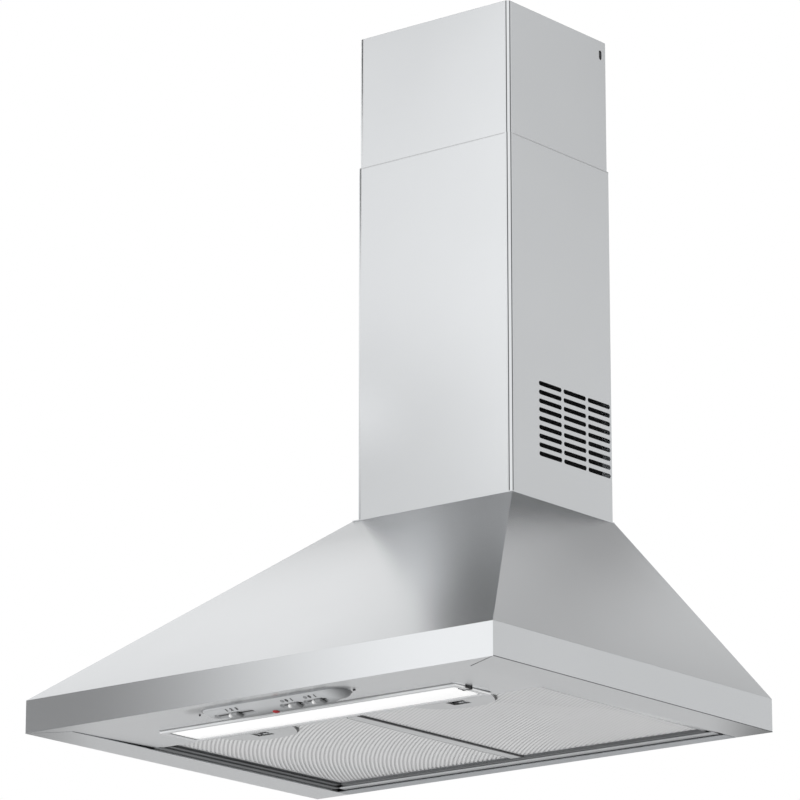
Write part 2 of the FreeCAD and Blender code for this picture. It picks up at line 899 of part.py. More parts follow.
def collar_screw_places():
    """Places of the screws round the outlet collar."""
    return [
        (sx * collar_screw_half_x, collar_y + sy * collar_screw_half_y)
        for sx in (-1, 1)
        for sy in (-1, 1)
    ]


def blower_casing():
    """Hollow blower scroll, open at both sides and round at the outlet."""
    body = scroll_outline(0).cut(scroll_outline(scroll_wall))
    hole = rod(collar_radius - collar_wall, 2 * cut_over, V(0, collar_y, plenum_top - cut_over), Z_AXIS)
    body = body.cut(hole)
    for x, z in hanger_holes():
        body = body.cut(rod(hanger_screw_radius, 2 * cut_over, V(x, -plenum_rear + cut_over, z), -Y_AXIS))
    for x, y in collar_screw_places():
        body = body.cut(rod(hanger_screw_radius, 2 * cut_over, V(x, y, plenum_top - cut_over), Z_AXIS))
    return body


def casing_side(side):
    """Side plate of the blower: the motor's on the left, the air inlet's on the right."""
    x0, x1 = span(side, scroll_half_width, scroll_half_width + scroll_wall)
    slab = box(x0, x1, -hood_depth, 0, 0, canopy_height)
    outline = scroll_outline(0)
    outline.translate(V(side * scroll_wall, 0, 0))
    body = outline.common(slab)
    radius = inlet_radius if side > 0 else shaft_hole_radius
    hole = rod(radius, 2 * hood_width, V(-hood_width, -blower_from_wall, blower_height), X_AXIS)
    return body.cut(hole)


def inlet_ring():
    """Rounded mouth of the air inlet."""
    x0 = scroll_half_width + scroll_wall
    start = V(x0, -blower_from_wall, blower_height)
    ring = rod(inlet_radius + scroll_wall, inlet_ring_length, start, X_AXIS)
    return ring.cut(rod(inlet_radius, inlet_ring_length, start, X_AXIS))


def impeller():
    """Drum impeller: a disc with a hub, curved blades and an end ring."""
    x0 = -impeller_half_width
    start = V(x0, -blower_from_wall, blower_height)
    disc = rod(impeller_radius, impeller_disc, start, X_AXIS)
    hub = rod(hub_radius, hub_length, start, X_AXIS)
    far = V(impeller_half_width - impeller_disc, -blower_from_wall, blower_height)
    ring = rod(impeller_radius, impeller_disc, far, X_AXIS)
    ring = ring.cut(rod(impeller_radius - blade_depth, impeller_disc, far, X_AXIS))
    pieces = [disc, hub, ring]
    y0 = -blower_from_wall + impeller_radius - blade_depth + blade_inset
    y1 = -blower_from_wall + impeller_radius - blade_inset
    for index in range(blade_count):
        blade = box(x0, impeller_half_width, y0, y1,
                    blower_height - blade_thickness / 2, blower_height + blade_thickness / 2)
        blade.rotate(start, X_AXIS, index * 360 / blade_count)
        pieces.append(blade)
    body = joined(pieces)
    return body.cut(rod(shaft_radius, hub_length, start, X_AXIS))


def motor_shaft():
    """Shaft from the motor into the impeller's hub."""
    x0 = -scroll_half_width - scroll_wall - shaft_in_motor
    length = -impeller_half_width + hub_length - x0
    return rod(shaft_radius, length, V(x0, -blower_from_wall, blower_height), X_AXIS)


def motor():
    """Motor on the left side plate, bored for its shaft."""
    x1 = -scroll_half_width - scroll_wall
    x0 = x1 - motor_length
    body = rod(motor_radius, motor_length, V(x0, -blower_from_wall, blower_height), X_AXIS)
    nose_start = V(x0 - motor_nose_length, -blower_from_wall, blower_height)
    nose = rod(motor_nose_radius, motor_nose_length, nose_start, X_AXIS)
    bore_start = V(x1 - shaft_in_motor, -blower_from_wall, blower_height)
    bore = rod(shaft_radius + shaft_play, shaft_in_motor, bore_start, X_AXIS)
    return joined([body, nose]).cut(bore)


def blower_hanger():
    """Folded bracket that carries the blower on the rear panel."""
    x = hanger_width / 2
    z1 = hanger_top
    z0 = z1 - hanger_height
    t = hanger_sheet
    body = joined([
        box(-x, x, -plenum_rear, -steel, z1 - t, z1),
        box(-x, x, -plenum_rear, -plenum_rear + t, z0, z1),
        box(-x, x, -steel - t, -steel, z0, z1),
    ])
    for hx, hz in hanger_holes():
        body = body.cut(rod(hanger_screw_radius, t, V(hx, -plenum_rear + t, hz), -Y_AXIS))
    return body


def hanger_screws():
    """Four screws through the hanger into the blower casing."""
    screws = []
    y0 = -plenum_rear + hanger_sheet
    for x, z in hanger_holes():
        head = rod(hanger_screw_head, hanger_screw_head_height, V(x, y0, z), Y_AXIS)
        shank = rod(hanger_screw_radius, hanger_sheet + scroll_wall, V(x, y0, z), -Y_AXIS)
        screws.append(joined([head, shank]))
    return Part.makeCompound(screws)


def collar_bore():
    """Air passage through the collar and its plate."""
    start = V(0, collar_y, plenum_top - cut_over)
    return rod(collar_radius - collar_wall, collar_length + 2 * cut_over, start, Z_AXIS)


def collar_plate():
    """Square plate on the blower, which the collar stands on."""
    body = box(-collar_flange_half_x, collar_flange_half_x, collar_y - collar_flange_half_y,
               collar_y + collar_flange_half_y, plenum_top, collar_base).cut(collar_bore())
    for x, y in collar_screw_places():
        body = body.cut(rod(hanger_screw_radius, collar_flange, V(x, y, plenum_top), Z_AXIS))
    return body


def outlet_collar():
    """Round duct collar with a ledge for the flaps and the pin's holes."""
    tube = rod(collar_radius, collar_length, V(0, collar_y, collar_base), Z_AXIS).cut(collar_bore())
    bore_radius = collar_radius - collar_wall
    ledge_top = flap_z - flap_thickness / 2 - ledge_gap
    ledge_start = V(0, collar_y, ledge_top - ledge_thickness)
    ledge = rod(bore_radius, ledge_thickness, ledge_start, Z_AXIS)
    ledge = ledge.cut(rod(bore_radius - ledge_width, ledge_thickness, ledge_start, Z_AXIS))
    return joined([tube, ledge]).cut(damper_pin())


def collar_screws():
    """Four screws that hold the collar on the blower."""
    screws = []
    for x, y in collar_screw_places():
        head = rod(hanger_screw_head, hanger_screw_head_height, V(x, y, collar_base), Z_AXIS)
        start = V(x, y, plenum_top - scroll_wall)
        shank = rod(hanger_screw_radius, collar_flange + scroll_wall, start, Z_AXIS)
        screws.append(joined([head, shank]))
    return Part.makeCompound(screws)


def damper_pin():
    """Hinge pin across the collar."""
    reach = collar_radius - flap_pin_sunk
    return rod(flap_pin_radius, 2 * reach, V(-reach, collar_y, flap_z), X_AXIS)


def damper_flap(side):
    """Half-round flap on the front (-1) or rear (+1) of the pin."""
    radius = collar_radius - collar_wall - flap_gap
    z0 = flap_z - flap_thickness / 2
    z1 = flap_z + flap_thickness / 2
    disc = rod(radius, flap_thickness, V(0, collar_y, z0), Z_AXIS)
    near, far = span(side, flap_start, collar_radius)
    body = disc.common(box(-collar_radius, collar_radius, collar_y + near, collar_y + far, z0, z1))
    pieces = [body]
    pitch = barrel_length + barrel_spacing
    for index in range(barrel_count):
        if index % 2 == (0 if side < 0 else 1):
            x0 = (index - barrel_count / 2) * pitch + barrel_spacing / 2
            pieces.append(rod(barrel_radius, barrel_length, V(x0, collar_y, flap_z), X_AXIS))
            near, far = span(side, web_start, flap_start)
            pieces.append(box(x0, x0 + barrel_length, collar_y + near, collar_y + far, z0, z1))
    reach = collar_radius
    bore = rod(flap_pin_radius + flap_pin_play, 2 * reach, V(-reach, collar_y, flap_z), X_AXIS)
    return joined(pieces).cut(bore)


def gland_centre():
    """Middle of the cable gland on the terminal box."""
    return box_left + gland_inset, -steel - box_depth / 2


def terminal_box():
    """Moulded box on the rear panel, open to the front."""
    x1 = box_left + box_width
    y0 = -steel - box_depth
    z1 = box_bottom + box_height
    body = box(box_left, x1, y0, -steel, box_bottom, z1)
    inside = box(box_left + box_wall, x1 - box_wall, y0 - cut_over, -steel - box_wall,
                 box_bottom + box_wall, z1 - box_wall)
    gx, gy = gland_centre()
    hole = rod(gland_bore + gland_hole_play, 2 * cut_over, V(gx, gy, z1 - cut_over), Z_AXIS)
    return body.cut(inside).cut(hole)


def terminal_lid():
    """Flat lid of the terminal box."""
    y1 = -steel - box_depth
    return box(box_left, box_left + box_width, y1 - lid_thickness, y1, box_bottom, box_bottom + box_height)


def terminal_block():
    """Terminal block on the back wall of the box."""
    x = box_left + box_width / 2
    z = box_bottom + box_height / 2
    y1 = -steel - box_wall
    return box(x - block_width / 2, x + block_width / 2, y1 - block_depth, y1,
               z - block_height / 2, z + block_height / 2)


def cable_gland():
    """Round gland on top of the terminal box."""
    gx, gy = gland_centre()
    base = V(gx, gy, box_bottom + box_height)
    flange = rod(gland_flange_radius, gland_flange, base, Z_AXIS)
    body = joined([flange, rod(gland_radius, gland_length, base, Z_AXIS)])
    return body.cut(rod(gland_bore, gland_length, base, Z_AXIS))


def capacitor_centre():
    """Distance of the capacitor's axis in front of the wall."""
    return -steel - capacitor_radius - strap_play - strap_thickness


def capacitor():
    """Run capacitor of the motor, standing upright."""
    start = V(capacitor_place, capacitor_centre(), capacitor_bottom)
    return rod(capacitor_radius, capacitor_length, start, Z_AXIS)


def capacitor_strap():
    """Strap that holds the capacitor to the rear panel."""
    y = capacitor_centre()
    z0 = capacitor_bottom + capacitor_length / 2 - strap_height / 2
    start = V(capacitor_place, y, z0)
    hoop = rod(capacitor_radius + strap_play + strap_thickness, strap_height, start, Z_AXIS)
    foot = box(capacitor_place - strap_foot, capacitor_place + strap_foot, -steel - strap_thickness, -steel,
               z0, z0 + strap_height)
    return joined([hoop, foot]).cut(rod(capacitor_radius + strap_play, strap_height, start, Z_AXIS))


def hood_parts():
    """Every piece of the hood, by name."""
    parts = {
        "canopy_front": canopy_front(),
        "canopy_left": canopy_side(-1),
        "canopy_right": canopy_side(1),
        "front_panel": front_panel(),
        "rear_panel": rear_panel(),
        "neck_ring": neck_ring(),
        "lower_chimney": lower_chimney(),
        "upper_chimney": upper_chimney(),
        "chimney_bracket": chimney_bracket(),
        "filter_seat": filter_seat(),
        "centre_rail": centre_rail(),
        "lamp_trim": lamp_trim(),
        "lamp_lens": lamp_lens(),
        "lens_clips": lens_clips(),
        "lamp_tray": lamp_tray(),
        "control_housing": control_housing(),
        "control_screws": control_screws(),
        "control_board": control_board(),
        "pilot_lens": pilot_lens(),
        "blower_casing": blower_casing(),
        "casing_left": casing_side(-1),
        "casing_right": casing_side(1),
        "inlet_ring": inlet_ring(),
        "impeller": impeller(),
        "motor_shaft": motor_shaft(),
        "motor": motor(),
        "blower_hanger": blower_hanger(),
        "hanger_screws": hanger_screws(),
        "collar_plate": collar_plate(),
        "outlet_collar": outlet_collar(),
        "collar_screws": collar_screws(),
        "damper_pin": damper_pin(),
        "damper_flap_front": damper_flap(-1),
        "damper_flap_rear": damper_flap(1),
        "terminal_box": terminal_box(),
        "terminal_lid": terminal_lid(),
        "terminal_block": terminal_block(),
        "cable_gland": cable_gland(),
        "capacitor": capacitor(),
        "capacitor_strap": capacitor_strap(),
    }
    for side, word in ((-1, "left"), (1, "right")):
        parts["filter_frame_" + word] = filter_frame(side)
        parts["filter_mesh_" + word] = filter_mesh(side)
        parts["latch_plate_" + word] = latch_plate(side)
        parts["filter_latch_" + word] = filter_latch(side)
        parts["lamp_holder_" + word] = lamp_holder(side)
        parts["lamp_" + word] = lamp(side)
    for name, (_, _, place) in slots().items():
        parts[name + "_knob"] = knob(place)
        parts[name + "_switch"] = switch_body(name)
    return parts


os.makedirs("parts", exist_ok=True)
for node, shape in hood_parts().items():
    shape.exportStep("parts/" + node + ".step")
    state = "valid" if shape.isValid() else "INVALID"
    print(node, len(shape.Solids), "solid(s)", round(shape.Volume), "mm3", state)
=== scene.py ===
# %% [markdown]
# # A wall-hung range hood
# The hood is a pyramid canopy of folded steel under a telescoping chimney. Its working parts come from
# the CAD frame, which is loaded first and never moved. Blender adds the finishes, the light and the
# small forms that a drawing of the working parts leaves out.

# %% Load the frame
import bmesh
import bpy
from math import atan, ceil, cos, hypot, pi, radians, sin, sqrt
from mathutils import Matrix, Vector
from mathutils.geometry import tessellate_polygon


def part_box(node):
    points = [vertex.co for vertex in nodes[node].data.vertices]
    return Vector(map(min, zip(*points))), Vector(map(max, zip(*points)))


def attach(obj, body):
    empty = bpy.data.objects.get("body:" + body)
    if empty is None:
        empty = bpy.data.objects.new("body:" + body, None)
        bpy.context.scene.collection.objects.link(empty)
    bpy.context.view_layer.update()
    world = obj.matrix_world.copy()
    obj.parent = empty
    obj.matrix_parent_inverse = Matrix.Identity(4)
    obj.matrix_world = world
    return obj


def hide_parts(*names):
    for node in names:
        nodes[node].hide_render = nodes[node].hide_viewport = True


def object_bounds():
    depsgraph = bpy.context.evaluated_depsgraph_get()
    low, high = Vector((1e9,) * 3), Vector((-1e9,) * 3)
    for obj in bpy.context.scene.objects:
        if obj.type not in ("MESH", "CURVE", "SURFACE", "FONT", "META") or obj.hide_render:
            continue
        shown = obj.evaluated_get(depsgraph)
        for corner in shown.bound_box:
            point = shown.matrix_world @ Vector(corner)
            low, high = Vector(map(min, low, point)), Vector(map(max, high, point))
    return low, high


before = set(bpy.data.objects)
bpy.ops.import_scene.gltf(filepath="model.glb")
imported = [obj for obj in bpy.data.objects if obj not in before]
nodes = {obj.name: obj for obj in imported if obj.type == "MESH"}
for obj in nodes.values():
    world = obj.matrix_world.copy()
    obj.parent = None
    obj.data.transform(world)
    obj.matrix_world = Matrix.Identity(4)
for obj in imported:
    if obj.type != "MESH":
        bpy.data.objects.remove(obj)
cad_low, cad_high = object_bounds()
mm = 0.001
print("CAD box", [round(v, 4) for v in cad_low], [round(v, 4) for v in cad_high])

# %% [markdown]
# ## The camera
# The photograph looks up at the hood from the front right, from far away with a long lens. A camera that
# is placed by its position and two angles is easy to check against the edges of the canopy.

# %% Camera
sensor_width = 36.0
lens_length = 206.47
sight_limit = 100.0
camera_place = Vector((2.86328, -3.82680, -0.91786))
camera_yaw = radians(38.5365)
camera_pitch = radians(15.4494)
camera_data = bpy.data.cameras.new("camera")
camera_data.sensor_width = sensor_width
camera_data.lens = lens_length
camera_data.clip_end = sight_limit
camera = bpy.data.objects.new("camera", camera_data)
camera.location = camera_place
camera.rotation_euler = (pi / 2 + camera_pitch, 0, camera_yaw)
scene = bpy.context.scene
scene.collection.objects.link(camera)
scene.camera = camera
print("camera", round(camera_place.length, 3), "m from the frame's origin")

# %% [markdown]
# ## The surroundings
# The hood hangs in front of plain white. The world is white to the camera and to reflections, and a
# little dimmer as a source of light. The floor lies far below, as it does in a kitchen, and takes the
# hood's shadow. It is see-through from underneath, so that a view from low down isn't blocked.

# %% World
world_light = 0.62
white = (1.0, 1.0, 1.0, 1.0)


def wire(tree, node, inputs):
    """Fills a node's inputs with values, or links them to a socket or to a node's first output."""
    for name, value in inputs.items():
        if isinstance(value, bpy.types.Node):
            value = value.outputs[0]
        if isinstance(value, bpy.types.NodeSocket):
            tree.links.new(value, node.inputs[name])
        else:
            node.inputs[name].default_value = value


def add(tree, kind, inputs=None, **settings):
    """New shader node with its settings and inputs."""
    node = tree.nodes.new("ShaderNode" + kind)
    for name, value in settings.items():
        setattr(node, name, value)
    wire(tree, node, inputs or {})
    return node


scene.view_settings.view_transform = "Standard"
scene.world = bpy.data.worlds.new("studio")
scene.world.use_nodes = True
tree = scene.world.node_tree
tree.nodes.clear()
path = add(tree, "LightPath").outputs
seen = add(tree, "Math", {0: path["Is Camera Ray"], 1: path["Is Glossy Ray"]}, operation="MAXIMUM")
seen_all = add(tree, "Math", {0: seen, 1: path["Is Transmission Ray"]}, operation="MAXIMUM")
lit = add(tree, "Background", {"Color": white, "Strength": world_light})
shown = add(tree, "Background", {"Color": white})
mix = add(tree, "MixShader", {0: seen_all, 1: lit, 2: shown})
add(tree, "OutputWorld", {0: mix})
print("world light", world_light)

# %% Floor
floor_height = -1.6
floor_reach = 12.0
floor_grey = (0.86, 0.86, 0.86, 1.0)
matt_rough = 0.9
square = ((-1, -1), (1, -1), (1, 1), (-1, 1))


def flat_card(name, corners):
    """One four-sided sheet for the stage."""
    mesh = bpy.data.meshes.new(name)
    mesh.from_pydata(corners, [], [tuple(range(len(corners)))])
    card = bpy.data.objects.new(name, mesh)
    scene.collection.objects.link(card)
    return card


def new_surface(name):
    """Material with its node tree and its main shader."""
    material = bpy.data.materials.new(name)
    material.use_nodes = True
    tree = material.node_tree
    return material, tree, tree.nodes["Principled BSDF"]


def one_sided(name, colour):
    """Matt paint that can't be seen from behind."""
    material, tree, matt = new_surface(name)
    wire(tree, matt, {"Base Color": colour, "Roughness": matt_rough})
    behind = add(tree, "NewGeometry").outputs["Backfacing"]
    blend = add(tree, "MixShader", {0: behind, 1: matt, 2: add(tree, "BsdfTransparent")})
    wire(tree, tree.nodes["Material Output"], {"Surface": blend})
    return material


floor = flat_card("floor", [(x * floor_reach, y * floor_reach, floor_height) for x, y in square])
floor.data.materials.append(one_sided("floor_paint", floor_grey))
print("floor at", floor_height)

# %% [markdown]
# ## The wall behind the chimney
# A hood's chimney is open at the back and is closed by the wall that it hangs on, so its slots show a dark
# space. A near-black patch of wall, a little narrower than the chimney and as high as its lower sleeve,
# closes it
# here: its colour is painted shade for the space inside. It can only be seen from the front.

# %% Wall patch
wall_gap = 1.0 * mm
wall_inset = 3.0 * mm
# Near black: painted shade for the dark inside of the chimney.
wall_shade_grey = (0.03, 0.03, 0.032, 1.0)
sleeve_low, sleeve_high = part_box("lower_chimney")
upper_low, upper_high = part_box("upper_chimney")
wall_half = upper_high.x - wall_inset
wall = flat_card("wall_patch", [
    (wall_half, wall_gap, sleeve_low.z), (wall_half, wall_gap, sleeve_high.z),
    (-wall_half, wall_gap, sleeve_high.z), (-wall_half, wall_gap, sleeve_low.z)])
wall.data.materials.append(one_sided("wall_painted_shade", wall_shade_grey))
print("wall patch", round(2 * wall_half, 3), "m wide")

# %% [markdown]
# ## Lamps and cards
# Two large soft lamps give the plastic and the mesh their shade. Steel mostly shows what stands around it,
# so its soft gradients come from cards, as in a studio. A card glows at the grey that steel should show,
# fades out towards its edges, and only reflections see it.

# %% Lamps
key_place = Vector((-0.9, -3.2, -0.55))
key_size = 1.2
key_watts = 60
under_place = Vector((-1.3, -1.8, -1.3))
under_size = 1.4
under_watts = 5


def soft_lamp(name, place, aim, size, watts):
    """Square area lamp that looks at a point, without a reflection of its own."""
    data = bpy.data.lights.new(name, "AREA")
    data.size = size
    data.energy = watts
    lamp = bpy.data.objects.new(name, data)
    lamp.location = place
    lamp.rotation_euler = (aim - place).to_track_quat("-Z", "Y").to_euler()
    lamp.visible_glossy = False
    scene.collection.objects.link(lamp)


middle = (cad_low + cad_high) / 2
soft_lamp("key_lamp", key_place, middle, key_size, key_watts)
soft_lamp("under_lamp", under_place, middle, under_size, under_watts)
print("lamps of", key_watts, "and", under_watts, "watts")

# %% Cards
front_bounce = (-0.600, -0.754, 0.266)
side_bounce = (0.600, 0.754, 0.266)
back_bounce = (-0.206, 0.754, 0.623)
shade_bounce = (0.170, 0.730, 0.660)
ceiling_bounce = (-0.50, -0.37, 0.78)
brow_bounce = (-0.60, -0.58, 0.55)
left_tip_bounce = (-0.671, 0.715, -0.195)
right_tip_bounce = (-0.545, 0.814, -0.195)
# A row: name, the point that sees the card, the way and distance to it, half size, soft shares, glow.
cards = (
    ("skirt_card", (-0.30, -0.468, 0.0), front_bounce, 0.60, (0.66, 0.24), (1.0, 0.5), 0.26),
    ("skirt_light", (0.28, -0.468, 0.0), front_bounce, 0.55, (0.40, 0.20), (1.0, 0.6), 1.16),
    ("neck_card", (0.0, -0.177, 0.28), front_bounce, 0.8, (0.9, 0.20), (0.4, 1.0), 0.72),
    ("brow_card", (-0.088, -0.177, 0.325), brow_bounce, 0.12, (0.08, 0.07), (1.0, 1.0), 0.95),
    ("fold_light", (0.19, -0.177, 0.56), front_bounce, 0.7, (0.17, 0.42), (1.0, 0.3), 1.12),
    ("side_card", (0.20, -0.10, 0.35), side_bounce, 2.2, (2.4, 2.2), (0.3, 0.3), 0.69),
    ("back_card", (0.24, -0.24, 0.14), back_bounce, 2.6, (1.9, 1.3), (0.4, 0.4), 0.76),
    ("nook_card", (0.115, -0.04, 0.215), back_bounce, 0.40, (0.16, 0.16), (1.0, 1.0), 0.32),
    ("shade_card", (0.103, -0.08, 0.22), shade_bounce, 2.2, (0.62, 0.62), (0.5, 0.5), 0.04),
    ("ceiling_card", (0.0, -0.177, 0.50), ceiling_bounce, 3.4, (2.6, 1.5), (0.25, 0.2), 0.0),
    ("left_tip_card", (-0.298, -0.465, 0.0), left_tip_bounce, 0.25, (0.08, 0.08), (1.0, 1.0), 0.30),
    ("right_tip_card", (0.300, 0.0, 0.0), right_tip_bounce, 0.25, (0.075, 0.075), (1.0, 1.0), 0.10))


def card_glow(name, level, fade):
    """Grey glow that fades to nothing at the card's edges."""
    material, tree, unused = new_surface(name)
    tree.nodes.remove(unused)
    split = add(tree, "SeparateXYZ", {0: add(tree, "TexCoord").outputs["Object"]})
    both = add(tree, "Math", operation="MULTIPLY")
    for index, width in enumerate(fade):
        size = add(tree, "Math", {0: split.outputs[index]}, operation="ABSOLUTE")
        limits = {"Value": size, "From Min": 1.0, "From Max": 1.0 - width}
        wire(tree, both, {index: add(tree, "MapRange", limits, interpolation_type="SMOOTHSTEP")})
    light = add(tree, "Emission", {"Color": (level, level, level, 1.0)})
    blend = add(tree, "MixShader", {0: both, 1: add(tree, "BsdfTransparent"), 2: light})
    wire(tree, tree.nodes["Material Output"], {"Surface": blend})
    return material


def studio_card(name, seen_from, towards, distance, half_size, fade, level):
    """Card that stands in a direction from a point and faces back to it."""
    card = flat_card(name, [(x, y, 0) for x, y in square])
    away = Vector(towards).normalized()
    turn = (-away).to_track_quat("Z", "Y").to_matrix().to_4x4()
    size = Matrix.Diagonal((*half_size, 1.0, 1.0))
    card.matrix_world = Matrix.Translation(Vector(seen_from) + away * distance) @ turn @ size
    card.data.materials.append(card_glow(name, level, fade))
    card.visible_camera = False
    card.visible_diffuse = False
    card.visible_shadow = False
    card.visible_transmission = False


for row in cards:
    studio_card(*row)
print(len(cards), "cards stand round the hood")

# %% [markdown]
# ## Brushed steel
# The canopy and the chimney are stainless sheet, ground in one direction so that reflections blur across it.
# A picture of scratches would be coarse close up. Here noise that is squeezed in height gives fine level
# streaks in roughness and relief at any size, and a wide noise clouds the colour a little.

# %% Steel
noise_low = 0.3
noise_high = 0.7
metal_clouds = ((7.0, 7.0, 7.0), 2.0)
level_streaks = (8.0, 8.0, 1400.0)
streak_detail = 5.0
brush_relief = (0.01 * mm, 0.06)
sheets = ("canopy_front", "canopy_left", "canopy_right", "lower_chimney", "upper_chimney")


def grain(tree, scale, detail):
    """Noise in the frame's own metres, stretched by a scale for each axis."""
    place = add(tree, "TexCoord").outputs["Object"]
    stretch = add(tree, "Mapping", {"Vector": place, "Scale": scale})
    return add(tree, "TexNoise", {"Vector": stretch, "Scale": 1.0, "Detail": detail})


def shaded(tree, noise, dark, light):
    """Colour between two shades, chosen by noise."""
    ramp = add(tree, "ValToRGB", {0: noise})
    for stop, place, shade in zip(ramp.color_ramp.elements, (noise_low, noise_high), (dark, light)):
        stop.position = place
        stop.color = (*shade, 1.0)
    return ramp


def finish(name, shades, clouds, texture, rough, relief, names, metallic=0.0):
    """Finish for some CAD nodes: clouds in its colour, a finer noise in its roughness and relief."""
    material, tree, shader = new_surface(name)
    fine = grain(tree, *texture)
    limits = {"From Min": noise_low, "From Max": noise_high, "To Min": rough[0], "To Max": rough[1]}
    wire(tree, shader, {
        "Metallic": metallic,
        "Base Color": shaded(tree, grain(tree, *clouds), *shades),
        "Roughness": add(tree, "MapRange", {"Value": fine, **limits}),
        "Normal": add(tree, "Bump", {"Height": fine, "Distance": relief[0], "Strength": relief[1]})})
    for node in names:
        nodes[node].data.materials.clear()
        nodes[node].data.materials.append(material)
    return material


def brushed(name, dark, light, rough, stretch, *names, metallic=1.0):
    """Metal with fine streaks."""
    streaks = (stretch, streak_detail)
    return finish(name, (dark, light), metal_clouds, streaks, rough, brush_relief, names, metallic)


steel = brushed(
    "brushed_steel", (0.745, 0.76, 0.775), (0.765, 0.78, 0.795), (0.25, 0.258), level_streaks,
    "neck_ring", *sheets)
print("steel on", len(sheets), "sheets and the ring")

# %% [markdown]
# ## Other metals
# Hidden brackets are galvanised sheet, the filters are aluminium, and screws and shaft are zinc plated. They
# differ in shade, roughness and grain only, so the steel's own function makes them all. The mesh's strands
# are less metallic, which keeps them bright.

# %% Metals
mill_grain = (60.0, 60.0, 60.0)
rolled_grain = (30.0, 400.0, 30.0)
pad_grain = (300.0, 300.0, 300.0)
zinc_grain = (90.0, 90.0, 90.0)
strand_metallic = 0.7
mill = brushed(
    "galvanised_sheet", (0.50, 0.52, 0.54), (0.60, 0.62, 0.64), (0.38, 0.50), mill_grain,
    "rear_panel", "chimney_bracket", "blower_hanger", "capacitor_strap")
aluminium = brushed(
    "filter_aluminium", (0.74, 0.75, 0.76), (0.80, 0.81, 0.82), (0.34, 0.42), rolled_grain,
    "centre_rail", "filter_frame_left", "filter_frame_right")
brushed(
    "filter_pad", (0.84, 0.845, 0.85), (0.88, 0.885, 0.89), (0.5, 0.6), pad_grain,
    "filter_mesh_left", "filter_mesh_right")
strand_bright = brushed(
    "mesh_strands", (0.93, 0.935, 0.94), (0.96, 0.965, 0.97), (0.30, 0.40), pad_grain,
    metallic=strand_metallic)
brushed(
    "zinc_plate", (0.66, 0.67, 0.68), (0.74, 0.75, 0.76), (0.22, 0.32), zinc_grain,
    "motor_shaft", "hanger_screws", "collar_screws", "damper_pin", "capacitor")
print("sheet, aluminium and zinc")

# %% [markdown]
# ## Mouldings and paint
# Knobs, housings and the blower are moulded plastic, and the filters' seat gets a dark grey of painted shade.
# Such surfaces have a fine even texture, so each gets two shades, a roughness and the depth of its texture.

# %% Mouldings
moulding_clouds = ((25.0, 25.0, 25.0), 3.0)
moulding_grain = ((1800.0, 1800.0, 1800.0), 2.0)
texture_strength = 0.2
glossy_relief = 0.01 * mm
satin_relief = 0.02 * mm
matt_relief = 0.03 * mm
coarse_relief = 0.05 * mm


def moulded(name, dark, light, rough, depth, *names):
    """Moulding or paint with a fine even texture."""
    relief = (depth, texture_strength)
    return finish(name, (dark, light), moulding_clouds, moulding_grain, rough, relief, names)


silver = moulded("silver_moulding", (0.42, 0.43, 0.44), (0.45, 0.46, 0.47), (0.38, 0.48), matt_relief)
# Dark grey of painted shade, for the seat's left side and inner steps.
seat_painted_shade = moulded("seat_painted_shade", (0.10, 0.105, 0.11), (0.12, 0.125, 0.13), (0.40, 0.5), matt_relief)
pale = moulded("pale_trim", (0.60, 0.61, 0.62), (0.64, 0.65, 0.66), (0.3, 0.4), glossy_relief)
red = moulded("red_lens", (0.24, 0.004, 0.008), (0.30, 0.006, 0.012), (0.12, 0.18), glossy_relief)
thumb_grey = moulded("thumb_moulding", (0.22, 0.225, 0.23), (0.25, 0.255, 0.26), (0.6, 0.7), glossy_relief)
bead_highlight_white = moulded("bead_highlight_white", (0.70, 0.70, 0.70), (0.75, 0.75, 0.75), (0.12, 0.2), glossy_relief)
black = moulded(
    "black_moulding", (0.02, 0.02, 0.022), (0.03, 0.03, 0.032), (0.4, 0.5), matt_relief,
    "terminal_box", "terminal_lid", "cable_gland")
track_grey = moulded(
    "track_moulding", (0.20, 0.205, 0.21), (0.24, 0.245, 0.25), (0.4, 0.5), matt_relief,
    "speed_switch", "light_switch", "fan_switch")
moulded(
    "cream_moulding", (0.78, 0.76, 0.70), (0.84, 0.82, 0.77), (0.25, 0.35), satin_relief,
    "lamp_holder_left", "lamp_holder_right", "terminal_block")
moulded(
    "blower_moulding", (0.20, 0.21, 0.22), (0.24, 0.25, 0.26), (0.45, 0.55), coarse_relief,
    "blower_casing", "casing_left", "casing_right", "inlet_ring", "impeller", "outlet_collar",
    "collar_plate", "damper_flap_front", "damper_flap_rear")
moulded("motor_paint", (0.26, 0.27, 0.28), (0.32, 0.33, 0.34), (0.35, 0.45), coarse_relief, "motor")
moulded("board_green", (0.03, 0.16, 0.06), (0.05, 0.21, 0.09), (0.3, 0.4), satin_relief, "control_board")
moulded(
    "frosted_glass", (0.86, 0.86, 0.84), (0.92, 0.92, 0.90), (0.2, 0.3), glossy_relief,
    "lamp_left", "lamp_right")
print("mouldings and paint")

# %% [markdown]
# ## Opal white
# The lamp's cover is an opal diffuser, lit by the tubes behind it. Light that passes through it would be slow
# and noisy to trace, so the surface itself glows a little and stays white from every side.

# %% Lens finish
lens_glow = 0.30
lens_rough = 0.3
lens_clouds = ((12.0, 12.0, 12.0), 2.0)
lens_dark = (0.90, 0.90, 0.90)
lens_light = (0.94, 0.94, 0.94)
opal_white, tree, shader = new_surface("opal_lens")
wire(tree, shader, {
    "Base Color": shaded(tree, grain(tree, *lens_clouds), lens_dark, lens_light),
    "Roughness": lens_rough, "Emission Color": white, "Emission Strength": lens_glow})
print("opal white glows at", lens_glow)

# %% [markdown]
# ## Folded edges
# A folded or moulded edge is never sharp: its small radius catches a line of light. The CAD meshes are
# triangles with split corners, so each gets a short stack of modifiers that welds the corners, joins flat
# triangles into whole faces and then rounds the edges that are left.

# %% Rounded edges
weld_reach = 0.002 * mm
flat_angle = radians(0.5)
sharp_angle = radians(30)
sheet_edge = 0.35 * mm
filter_edge = 0.3 * mm
edge_segments = 2


